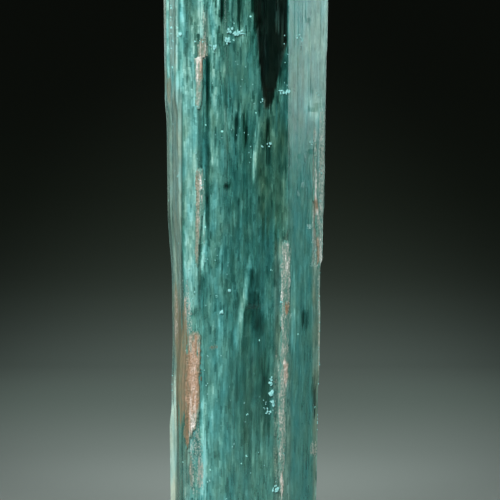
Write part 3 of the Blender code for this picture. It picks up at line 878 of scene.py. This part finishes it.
def build_slivers(name, count, seed, depth, half_width, half_length, thickness, turn, sides, material):
    """Many slivers, each at a random place inside the crystal and turned at most so far about Z.
    Lengths are in mm."""
    rng = random.Random(seed)
    mesh = bmesh.new()
    for _ in range(count):
        long_half = rng.uniform(*half_length) * MM
        s = rng.uniform(0, ROUND)
        z = rng.uniform(long_half + SLIVER_FOOT, HEIGHT - SLIVER_HEAD - long_half)
        centre, along, out = surface_at(s, z, rng.uniform(*depth) * MM)
        angle = math.radians(rng.uniform(-turn, turn))
        wide = (along * math.cos(angle) + out * math.sin(angle)) * rng.uniform(*half_width) * MM
        lean = math.radians(rng.gauss(0, SLIVER_LEAN))
        tall = (UP + along * math.tan(lean)).normalized() * long_half
        thin = wide.cross(tall).normalized() * thickness * MM
        add_sliver(mesh, centre, wide, tall, thin, sides, rng)
    return closed_object(mesh, name, material)


CRACK_FOOT, CRACK_HEAD = 4 * MM, 9 * MM
CRACK_HALF_WIDTHS = (0.5, 2.2)  # mm
CRACK_DEEP = 0.45  # of its half width
CRACK_INSIDE = 0.35 * MM
CRACK_TILT = 0.08
CRACK_THICKNESS = 0.02 * MM
CRACK_SIDES = 11


def build_cracks(name, count, seed, material):
    """Level cracks: thin ragged films across the crystal's length. There are none from the middle of
    the front face to 3 mm past the right edge."""
    rng = random.Random(seed)
    mesh = bmesh.new()
    start, end = place("front", 0.5), place("front_right", 1.0) + 3 * MM
    for _ in range(count):
        s, z = rng.uniform(end, start + ROUND), rng.uniform(CRACK_FOOT, HEIGHT - CRACK_HEAD)
        size = rng.uniform(*CRACK_HALF_WIDTHS) * MM
        centre, along, _ = surface_at(s, z, size / 2 + CRACK_INSIDE)
        tilt = Vector((rng.gauss(0, CRACK_TILT), rng.gauss(0, CRACK_TILT), 1)).normalized()
        wide = (along - tilt * along.dot(tilt)).normalized() * size
        deep = tilt.cross(wide).normalized() * size * CRACK_DEEP
        add_sliver(mesh, centre, wide, deep, tilt * CRACK_THICKNESS, CRACK_SIDES, rng)
    return closed_object(mesh, name, material)


# Clusters of small bright facets, where the surface is chipped: the column and row of the middle, how
# far they lie across and up and down from it, how many, and the half width of the largest, in mm.
FACET_CLUSTERS = (
    (239, 33, 5, 2, 14, 0.34), (230, 31, 4, 2.5, 8, 0.26), (227, 42, 3, 3, 10, 0.28),
    (215, 48, 1.5, 3, 5, 0.32), (195, 43, 0.4, 1.5, 2, 0.2), (179, 36, 1.5, 1.5, 3, 0.3),
    (211, 47, 1, 1.5, 3, 0.2), (203, 42, 6, 6, 3, 0.12), (171, 20, 0.6, 16, 7, 0.16),
    (173, 60, 1.5, 24, 5, 0.1), (284, 92, 5, 1.5, 12, 0.28), (286, 60, 2, 26, 6, 0.1),
    (299, 37, 4, 3, 7, 0.17), (318, 92, 1.5, 2, 3, 0.13), (262, 101, 3, 2, 4, 0.12),
    (198.5, 107, 1.5, 1.5, 3, 0.14), (266, 145.5, 5, 2, 6, 0.22), (270, 143, 1, 3, 2, 0.12),
    (311, 142, 1.5, 2, 3, 0.12), (251, 150, 2, 14, 4, 0.1), (195, 165, 5, 22, 6, 0.1),
    (203, 184, 2, 6, 5, 0.14), (205, 253, 5, 14, 6, 0.12), (221.5, 312, 1.5, 1, 5, 0.32),
    (229, 291, 1.2, 1.5, 4, 0.26), (221, 262, 8, 14, 5, 0.09), (191, 285, 4, 26, 6, 0.12),
    (215, 330, 9, 26, 8, 0.09), (271, 382, 1.5, 5, 6, 0.34), (271.5, 394, 1, 3, 5, 0.4),
    (273, 403, 1.5, 2, 4, 0.38), (269, 411, 3, 3, 6, 0.18), (265, 398, 2, 12, 4, 0.1),
    (275, 490, 3, 2, 8, 0.3), (275, 484, 2, 3, 3, 0.14), (209, 479, 1.5, 2, 3, 0.13),
    (206, 385, 2, 22, 6, 0.1), (281.5, 303, 1, 2, 3, 0.14), (284, 454, 1, 2, 3, 0.1),
    (320, 205, 1.5, 50, 10, 0.1), (319, 330, 0.8, 60, 10, 0.09), (319, 400, 0.8, 40, 6, 0.09),
    (172, 400, 0.8, 40, 5, 0.08), (236, 100, 24, 40, 16, 0.08), (240, 420, 34, 60, 14, 0.08),
    (178, 175, 1, 2, 2, 0.09),
)
FACET_SEED = 41
FACET_SIDES = 8
FACET_RAGGED = 0.66  # the nearest that a point of a facet's rim comes to its middle, of its reach
FACET_SMALLEST = 0.06  # mm
FACET_TALL = 1.4  # how much taller than wide they may be
FACET_THICK = 0.2  # of their smaller half size
FACET_RISE = 0.04 * MM  # how far their middles stand above the plain surface
FACET_LEAN = 24  # degrees that the facets lean back, which turns them half way to the overhead light
FACET_LEAN_SPREAD = 9
FACET_TURN = 12  # degrees at most, to the left or right


def build_facets(material):
    rng = random.Random(FACET_SEED)
    mesh = bmesh.new()
    for column, row, across, along, count, largest in FACET_CLUSTERS:
        for _ in range(count):
            s, z = spot(column + rng.uniform(-across, across), row + rng.uniform(-along, along))
            half_width = rng.uniform(FACET_SMALLEST, largest) * MM
            half_height = rng.uniform(FACET_SMALLEST, largest) * FACET_TALL * MM
            centre = surface_at(s, z, -FACET_RISE)[0]
            lean = math.radians(FACET_LEAN + rng.uniform(-FACET_LEAN_SPREAD, FACET_LEAN_SPREAD))
            turn = math.radians(rng.uniform(-FACET_TURN, FACET_TURN))
            towards = Vector((math.sin(turn), -math.cos(turn), 0))
            wide = Vector((math.cos(turn), math.sin(turn), 0)) * half_width
            tall = (UP * math.cos(lean) - towards * math.sin(lean)) * half_height
            thin = wide.cross(tall).normalized() * FACET_THICK * min(half_width, half_height)
            add_sliver(mesh, centre, wide, tall, thin, FACET_SIDES, rng, FACET_RAGGED)
    return closed_object(mesh, "bright_facets", material)


# ---- Materials ----


class Value:
    """An output in a material's node tree. Arithmetic on it adds the nodes for that."""

    def __init__(self, nodes, socket):
        self.nodes, self.socket = nodes, socket

    def __add__(self, other):
        return self.nodes.math("ADD", self, other)

    def __radd__(self, other):
        return self.nodes.math("ADD", other, self)

    def __sub__(self, other):
        return self.nodes.math("SUBTRACT", self, other)

    def __rsub__(self, other):
        return self.nodes.math("SUBTRACT", other, self)

    def __mul__(self, other):
        return self.nodes.math("MULTIPLY", self, other)

    def __lt__(self, other):
        return self.nodes.math("LESS_THAN", self, other)

    def __gt__(self, other):
        return self.nodes.math("GREATER_THAN", self, other)


class Nodes:
    """A material's node tree, with short names for what the looks are made of."""

    def __init__(self, name):
        self.material = bpy.data.materials.new(name)
        self.material.use_nodes = True
        self.tree = self.material.node_tree

    def link(self, source, target):
        if isinstance(source, Value):
            self.tree.links.new(source.socket, target)
        elif target.type == "RGBA":
            target.default_value = (*source, 1.0)
        else:
            target.default_value = source

    def shade(self, inputs):
        """Sets the shader's own inputs."""
        for key, source in inputs.items():
            self.link(source, self.tree.nodes["Principled BSDF"].inputs[key])

    def new(self, kind, output, inputs, **settings):
        """One output of a new node, with these settings and inputs."""
        node = self.tree.nodes.new(kind)
        for key, setting in settings.items():
            setattr(node, key, setting)
        for key, source in inputs.items():
            self.link(source, node.inputs[key])
        return Value(self, node.outputs[output])

    def math(self, operation, *values, clamp=False):
        inputs = dict(enumerate(values))
        return self.new("ShaderNodeMath", 0, inputs, operation=operation, use_clamp=clamp)

    def clamped(self, a, b, operation="ADD"):
        return self.math(operation, a, b, clamp=True)

    def scaled(self, value, gain, offset, clamp=False):
        return self.math("MULTIPLY_ADD", value, gain, offset, clamp=clamp)

    def stretched(self, value, gain):
        """A value spread out around a half, and held between 0 and 1."""
        return self.scaled(value - 0.5, gain, 0.5, clamp=True)

    def around(self, value, amount):
        """A value from 0 to 1 turned into one from minus to plus half the amount."""
        return self.scaled(value, amount, -amount / 2)

    def ramp(self, value, *stops, blend="LINEAR"):
        made = self.new("ShaderNodeValToRGB", 0, {0: value})
        ramp = made.socket.node.color_ramp
        ramp.interpolation = blend
        while len(ramp.elements) < len(stops):
            ramp.elements.new(0.5)
        for element, (position, colour) in zip(ramp.elements, stops):
            element.position = position
            element.color = (*colour, 1.0)
        return made

    def mix(self, factor, a, b, blend="MIX"):
        inputs = {0: factor, 6: a, 7: b}
        return self.new("ShaderNodeMix", 2, inputs, data_type="RGBA", blend_type=blend)

    def attribute(self, name):
        return self.new("ShaderNodeAttribute", "Fac", {}, attribute_name=name)

    def position(self):
        return self.new("ShaderNodeTexCoord", "Object", {})

    def unrolled(self):
        """How far round the section and how high, both in mm."""
        height = self.new("ShaderNodeSeparateXYZ", "Z", {0: self.position()})
        return self.attribute("round"), height * (1 / MM)

    def joined(self, x, y, z=0.0):
        return self.new("ShaderNodeCombineXYZ", 0, {0: x, 1: y, 2: z})

    def random(self, *place):
        return self.new("ShaderNodeTexWhiteNoise", "Value", {"Vector": self.joined(*place)})

    def cell(self, width, length, seed):
        """The fibre, the length of it between two breaks, and where its breaks start, at each point.
        Fibres are so many mm wide, and their breaks so many mm apart."""
        across, along = self.unrolled()
        column = self.math("FLOOR", across * (1 / width))
        start = self.random(column, float(seed)) * MOST_START
        return column, self.math("FLOOR", self.scaled(along, 1 / length, start)), start

    def cells(self, width, length, seed):
        """A random value for each fibre so wide, from one break to the next, in mm."""
        column, row, _ = self.cell(width, length, seed)
        return self.random(column, row, float(seed))

    def fibred(self, width, length, across, along, seed):
        """Noise with grains so many mm across and along, but one value for each fibre so wide, from one
        break to the next."""
        column, row, start = self.cell(width, length, seed)
        row = row - start
        at = self.joined(column * (width / across), row * (length / along), float(seed))
        return self.new("ShaderNodeTexNoise", "Fac", {"Vector": at, "Scale": 1.0})

    def painted_glints(self, width, length, share, size):
        """1 on the painted glints: small spots, in this share of the cells, and 0 elsewhere."""
        across, along = self.unrolled()
        at = self.joined(across * (1 / width), along * (1 / length))
        colour = self.new("ShaderNodeTexVoronoi", "Color", {"Vector": at, "Scale": 1.0})
        distance = Value(self, colour.socket.node.outputs["Distance"])
        chosen = self.new("ShaderNodeSeparateColor", 0, {0: colour}) < share
        return chosen * (distance < size)

    def noise(self, across, along, detail=2.0, roughness=0.5):
        """Noise with grains so many mm across and so many long."""
        scale = (1 / (across * MM), 1 / (across * MM), 1 / (along * MM))
        at = self.new("ShaderNodeMapping", 0, {"Vector": self.position(), "Scale": scale})
        inputs = {"Vector": at, "Scale": 1.0, "Detail": detail, "Roughness": roughness}
        return self.new("ShaderNodeTexNoise", "Fac", inputs)

    def tint(self, base, value, low, high):
        """The base colour times a tint, which goes from low to high as the value does."""
        return self.mix(1.0, base, self.mix(self.stretched(value, 2.5), low, high), "MULTIPLY")

    def bump(self, height, strength, distance):
        inputs = {"Height": height, "Strength": strength, "Distance": distance}
        return self.new("ShaderNodeBump", 0, inputs)


MOST_START = 50.0  # breaks by which one fibre's count may be ahead of another's
CRYSTAL_IOR = 1.63
ABSORPTION_COLOUR = (0.25, 0.68, 0.64)
ABSORPTION_DENSITY = 360.0
HAZE_COLOURS = (
    (0.00, (0.010, 0.050, 0.040)),
    (0.15, (0.028, 0.165, 0.135)),
    (0.30, (0.056, 0.310, 0.262)),
    (0.50, (0.108, 0.445, 0.385)),
    (0.70, (0.185, 0.595, 0.530)),
    (0.85, (0.270, 0.740, 0.670)),
    (1.00, (0.440, 0.950, 0.890)),
)
GREY_COLOURS = (
    (0.00, (0.030, 0.042, 0.036)),
    (0.30, (0.110, 0.170, 0.138)),
    (0.50, (0.190, 0.290, 0.235)),
    (0.70, (0.330, 0.470, 0.390)),
    (1.00, (0.640, 0.820, 0.720)),
)
RUST_COLOURS = (
    (0.00, (0.12, 0.18, 0.13)),
    (0.30, (0.20, 0.19, 0.11)),
    (0.55, (0.33, 0.22, 0.13)),
    (0.80, (0.46, 0.21, 0.10)),
    (1.00, (0.40, 0.10, 0.03)),
)
PALE_COLOURS = (
    (0.0, (0.22, 0.29, 0.24)),
    (0.4, (0.38, 0.38, 0.32)),
    (0.7, (0.62, 0.54, 0.47)),
    (1.0, (0.95, 0.93, 0.88)),
)
STAINED_COLOURS = (
    (0.0, (0.12, 0.12, 0.07)),
    (0.25, (0.24, 0.165, 0.09)),
    (0.5, (0.40, 0.25, 0.155)),
    (0.75, (0.54, 0.38, 0.28)),
    (1.0, (0.80, 0.69, 0.60)),
)
GRANULAR_COLOURS = (
    (0.0, (0.05, 0.17, 0.14)),
    (0.25, (0.12, 0.26, 0.21)),
    (0.5, (0.25, 0.36, 0.30)),
    (0.75, (0.52, 0.54, 0.48)),
    (1.0, (0.92, 0.94, 0.90)),
)
COOL_TINT, WARM_TINT = (0.76, 0.98, 1.05), (1.16, 1.01, 0.93)
OLIVE_TINT = (1.05, 0.80, 0.66)
# The colour of the painted glints: bright specks that stand in for light caught by tiny chipped facets.
PAINTED_GLINT_COLOUR = (0.40, 0.95, 0.88)
CRUST_RIM_COLOUR = (0.095, 0.310, 0.255)
STAINED_RIM_COLOUR = (0.170, 0.190, 0.125)


def spread(n, amount, grain, patchiness, sharpness):
    """How far a growth covers the crystal: patchy where there is little of it."""
    cover = amount + n.around(grain, patchiness)
    return n.clamped(cover - 0.30, sharpness, "MULTIPLY") * n.clamped(amount, 4.0, "MULTIPLY")


def crystal_material():
    n = Nodes("tourmaline_look")
    thin = n.cells(0.16, 1.3, 1)
    thick = n.cells(0.30, 2.2, 2)
    dashes = n.cells(0.24, 1.1, 3)
    streaks = n.noise(0.20, 0.9, 3.0, 0.6)
    specks = n.noise(0.24, 0.34, 2.0, 0.6)
    mottle = n.noise(0.8, 1.7, 3.0, 0.55)
    haze = n.attribute("haze")
    wave = n.around(thin, 0.22) + n.around(thick, 0.24)
    wave = wave + n.around(n.fibred(0.17, 1.2, 0.7, 2.6, 8), 1.00)
    wave = wave + n.around(streaks, 0.14) + n.around(specks, 0.26) + n.around(mottle, 0.55)
    wave = wave + (dashes < 0.05) * -0.26 + (dashes > 0.955) * 0.18
    wave = wave * n.scaled(haze, 0.9, 0.02) * n.attribute("calm")
    hazed = n.clamped(haze, wave)
    base = n.mix(n.attribute("grey"), n.ramp(hazed, *HAZE_COLOURS), n.ramp(hazed, *GREY_COLOURS))
    base = n.tint(base, n.noise(1.3, 4.5, 2.0, 0.5), COOL_TINT, WARM_TINT)
    tinge = n.clamped(n.attribute("olive"), n.around(n.noise(0.8, 2.6, 3.0, 0.6), 0.7))
    base = n.mix(tinge, base, OLIVE_TINT, "MULTIPLY")
    # Painted glints: bright specks mixed into the base colour, standing in for light caught by tiny
    # chipped facets. They let no light through.
    painted_glint = n.painted_glints(0.80, 0.70, n.attribute("painted_glint_density") * 0.018, 0.22)
    painted_glint = painted_glint * ((n.cells(0.15, 0.17, 5) > 0.45) * (haze > 0.15))
    base = n.mix(painted_glint, base, PAINTED_GLINT_COLOUR)

    rust = n.attribute("rust")
    drawn_out = n.stretched(n.noise(0.25, 1.6, 4.0, 0.7), 2.0)
    rusted = spread(n, rust, drawn_out, 0.38, 3.0)
    shade = rust + n.around(n.noise(0.4, 0.9, 3.0, 0.65), 0.6) + -0.36
    base = n.mix(rusted, base, n.ramp(shade, *RUST_COLOURS))
    granules = n.around(n.cells(0.14, 0.20, 6), 0.5) + n.around(drawn_out, 0.7) + 0.5
    paled = spread(n, n.attribute("pale"), granules, 0.8, 1.5) * 0.8
    base = n.mix(paled, base, n.ramp(granules, *PALE_COLOURS))
    cover = n.math("MAXIMUM", rusted, paled)

    clear = n.clamped(1.0, hazed * 0.80, "SUBTRACT") * (1.0 - cover * 0.9) * (1.0 - painted_glint)
    frosted = n.attribute("frost") * 0.35
    n.shade({
        "Base Color": base,
        "Transmission Weight": clear,
        "Roughness": 0.04 + frosted + streaks * 0.18 + cover * 0.45,
        "Normal": n.bump(thin + streaks + cover * 3.0, 0.20, 0.02 * MM),
        "IOR": CRYSTAL_IOR,
    })
    add_absorption(n)
    return n.material


def add_absorption(n):
    inputs = {"Color": ABSORPTION_COLOUR, "Density": ABSORPTION_DENSITY}
    absorbed = n.new("ShaderNodeVolumeAbsorption", 0, inputs)
    n.link(absorbed, n.tree.nodes["Material Output"].inputs["Volume"])


def ends_material():
    """The pyramid, the flat top and the base: smoother than the sides, and cloudy in soft patches."""
    n = Nodes("crystal_ends_look")
    haze = n.scaled(n.noise(3.4, 3.4, 4.0, 0.6) - 0.45, 0.7, 0.24, clamp=True)
    n.shade({
        "Base Color": n.ramp(haze, *HAZE_COLOURS),
        "Transmission Weight": 1.0 - haze * 0.8,
        "Roughness": n.scaled(haze, 0.3, 0.04),
        "Normal": n.bump(n.noise(0.60, 0.60, 2.0), 0.10, 0.02 * MM),
        "IOR": CRYSTAL_IOR,
    })
    add_absorption(n)
    return n.material


def inclusion_material(name, colour, roughness, transmission):
    """Fine mottling on a pale film, so that no two slivers look alike."""
    n = Nodes(name)
    dim = tuple(0.45 * part for part in colour)
    n.shade({
        "Base Color": n.mix(n.noise(0.3, 0.8, 3.0, 0.6), dim, colour),
        "Roughness": roughness,
        "Transmission Weight": transmission,
    })
    return n.material


def crust_material():
    """Fine grains in streaks along the crystal, from grey-green to white, and orange where stained. At
    its thin edges the crystal's own colour shows through."""
    n = Nodes("crust_look")
    grain = n.noise(0.15, 0.24, 3.0, 0.7)
    streaks = n.stretched(n.noise(0.17, 1.5, 3.0, 0.6), 1.6)
    patches = n.stretched(n.noise(0.40, 1.00, 3.0, 0.6), 1.6)
    bits = n.cells(0.14, 0.21, 7)
    shared = n.around(streaks, 0.62) + n.around(patches, 0.50) + n.attribute("white") + 0.48
    clean = n.clamped(shared, n.around(grain, 0.7) + n.around(bits, 0.36))
    stained = n.clamped(shared, n.around(grain, 0.28) + n.around(bits, 0.10))
    stain = n.clamped(n.attribute("stain"), n.around(n.noise(0.30, 1.00, 3.0, 0.6), 0.8))
    stain = n.stretched(stain, 1.8)
    base = n.mix(stain, n.ramp(clean, *GRANULAR_COLOURS), n.ramp(stained, *STAINED_COLOURS))
    rim = n.clamped(n.attribute("edge"), n.around(streaks, 1.3))
    n.shade({
        "Base Color": n.mix(rim, n.mix(stain, CRUST_RIM_COLOUR, STAINED_RIM_COLOUR), base),
        "Roughness": n.scaled(grain, -0.3, 0.80),
        "Normal": n.bump(grain, 0.4, 0.03 * MM),
    })
    return n.material


# ---- Stage, lights and camera ----

STAGE_FLOOR = 0.80  # how far from the crystal the floor runs before it bends up into the wall, in metres
STAGE_BEND = 0.35
STAGE_WALL = 0.90
STAGE_SIDES = 96
# The stage's colour is painted to fall off with the light: pale near the crystal and dark up the wall.
STAGE_PAINTED_FALLOFF = (  # metres along the sheet from the crystal's axis, and its colour there
    (0.00, (0.330, 0.365, 0.340)),
    (0.14, (0.186, 0.220, 0.204)),
    (0.28, (0.104, 0.127, 0.116)),
    (0.52, (0.100, 0.136, 0.117)),
    (0.72, (0.141, 0.186, 0.162)),
    (0.80, (0.149, 0.197, 0.171)),
    (0.86, (0.118, 0.155, 0.135)),
    (0.93, (0.047, 0.064, 0.050)),
    (0.98, (0.024, 0.034, 0.024)),
    (1.03, (0.013, 0.020, 0.012)),
    (1.10, (0.007, 0.010, 0.006)),
    (1.20, (0.006, 0.009, 0.005)),
)
WORLD_COLOUR = (0.03, 0.034, 0.032, 1)
WHITE = (1, 1, 1)
RIM_COLOUR = (0.7, 1, 0.9)
AREA_LIGHTS = (  # name, where it is and what it faces, its width and height, power, colour, and spread
    ("overhead", (-0.10, -0.45, 0.50), (0, 0, 0.05), (0.50, 0.40), 4.7, WHITE, 180),
    ("right_card", (0.50, 0.0, 0.27), (0, 0, 0.27), (0.30, 0.40), 0.9, (0.80, 1.0, 0.98), 180),
    ("left_fill", (-0.42, -0.22, 0.42), (0, 0, 0.05), (0.30, 0.30), 1.6, WHITE, 180),
    ("rim_left", (-0.17, 0.50, 0.10), (0, 0, 0.05), (0.05, 0.24), 0.003, RIM_COLOUR, 45),
    ("rim_right", (0.19, 0.50, 0.10), (0, 0, 0.05), (0.05, 0.24), 0.009, RIM_COLOUR, 45),
)
BEAM_AT = (0.0, -0.50, 0.60)
BEAM_TARGET = (0.0, 0.52, 0.0)
BEAM_WIDE = 6.0  # half angles in degrees
BEAM_TALL = 16.0
BEAM_POWER = 66.0
BEAM_RADIUS = 0.02
NEAREST_SEEN = 0.01  # metres from the camera


def stage_outline():
    """The sheet's section, from the middle of the floor to the top of the wall: (distance out, height,
    length along the sheet)."""
    outline = [(out, 0.0, out) for out in np.linspace(0.01, STAGE_FLOOR, 20)]
    for angle in np.linspace(0, math.pi / 2, 25)[1:]:
        out = STAGE_FLOOR + STAGE_BEND * math.sin(angle)
        outline.append((out, STAGE_BEND * (1 - math.cos(angle)), STAGE_FLOOR + STAGE_BEND * angle))
    out, height, length = outline[-1]
    return outline + [(out, height + rise, length + rise) for rise in np.linspace(0.1, STAGE_WALL, 6)]


def build_stage():
    """A round sheet: a pale floor that bends up all round into a wall, its colour painted darker as it
    rises, as a painted fall-off of the light.
    """
    n = Nodes("stage_look")
    last = STAGE_PAINTED_FALLOFF[-1][0]
    along = n.clamped(n.attribute("along"), 1 / last, "MULTIPLY")
    stops = [(at / last, colour) for at, colour in STAGE_PAINTED_FALLOFF]
    shade = n.ramp(along, *stops, blend="B_SPLINE")
    n.shade({"Base Color": shade, "Roughness": 0.9, "Specular IOR Level": 0.2})
    mesh = bmesh.new()
    layer = mesh.verts.layers.float.new("along")
    rings = []
    for out, height, length in stage_outline():
        ring = []
        for k in range(STAGE_SIDES):
            angle = 2 * math.pi * k / STAGE_SIDES
            ring.append(mesh.verts.new((out * math.cos(angle), out * math.sin(angle), height)))
            ring[-1][layer] = length
        rings.append(ring)
    mesh.faces.new(rings[0])
    for low, high in zip(rings, rings[1:]):
        for k in range(STAGE_SIDES):
            j = (k + 1) % STAGE_SIDES
            mesh.faces.new((low[j], low[k], high[k], high[j]))
    made = object_from(mesh, "stage", n.material)
    made.data.shade_smooth()


def add_light(name, kind, place_at, target, power, **settings):
    light = bpy.data.lights.new(name, kind)
    light.energy = power
    for key, setting in settings.items():
        setattr(light, key, setting)
    made = bpy.data.objects.new(name, light)
    made.location = place_at
    made.rotation_euler = (Vector(target) - Vector(place_at)).to_track_quat("-Z", "Y").to_euler()
    bpy.context.scene.collection.objects.link(made)
    return made


def build_lights():
    world = bpy.data.worlds.new("surroundings")
    world.use_nodes = True
    background = world.node_tree.nodes["Background"]
    background.inputs["Color"].default_value = WORLD_COLOUR
    background.inputs["Strength"].default_value = 1.0
    bpy.context.scene.world = world
    for name, place_at, target, (wide, tall), power, colour, degrees in AREA_LIGHTS:
        angle = math.radians(degrees)
        more = {"shape": "RECTANGLE", "size": wide, "size_y": tall, "color": colour, "spread": angle}
        add_light(name, "AREA", place_at, target, power, **more)


def build_beam():
    """A fan of light over the camera's head, narrow from side to side, on the floor and wall behind."""
    wide, tall = math.radians(BEAM_WIDE), math.radians(BEAM_TALL)
    more = {"spot_size": 2 * tall, "spot_blend": 1.0, "shadow_soft_size": BEAM_RADIUS}
    beam = add_light("backdrop_beam", "SPOT", BEAM_AT, BEAM_TARGET, BEAM_POWER, **more)
    beam.scale = (math.tan(wide) / math.tan(tall), 1, 1)


def build_camera():
    data = bpy.data.cameras.new("camera")
    data.sensor_width = SENSOR
    data.lens = SENSOR * CAMERA_DISTANCE / (PICTURE * PIXEL)
    data.clip_start = NEAREST_SEEN
    made = bpy.data.objects.new("camera", data)
    made.location = (CAMERA_X, -CAMERA_DISTANCE, MIDDLE)
    made.rotation_euler = (math.radians(90), 0, 0)
    bpy.context.scene.collection.objects.link(made)
    bpy.context.scene.camera = made


build_camera()
build_stage()
build_lights()
build_beam()
bpy.context.scene.view_settings.view_transform = "Standard"

crystal = build_crystal(crystal_material())
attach(crystal, "root")
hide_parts("tourmaline_crystal")

veil_look = inclusion_material("veil_look", (0.75, 0.95, 0.92), 0.45, 0.35)
tube_look = inclusion_material("tube_look", (0.55, 0.80, 0.76), 0.30, 0.30)
crack_look = inclusion_material("crack_look", (0.85, 0.98, 0.96), 0.22, 0.0)
facet_look = inclusion_material("facet_look", (0.30, 0.80, 0.77), 0.50, 0.0)
# Their depth, half widths, half lengths and half thickness in mm, their turn in degrees, and their sides.
VEIL_SIZES = ((1.2, 4.4), (0.2, 0.9), (1.0, 6.0), 0.02, 50, 12)
TUBE_SIZES = ((1.1, 5.0), (0.03, 0.07), (1.5, 9.0), 0.03, 60, 4)
slivers = (
    build_slivers("veils", 110, 31, *VEIL_SIZES, veil_look),
    build_slivers("growth_tubes", 260, 32, *TUBE_SIZES, tube_look),
    build_cracks("level_cracks", 34, 33, crack_look),
    build_facets(facet_look),
)
for sliver in slivers:
    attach(sliver, "root")

crust_look = crust_material()
for name in CRUST_OUTLINES:
    crust = build_crust(name, crust_look)
    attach(crust, "root")
    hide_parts(name)
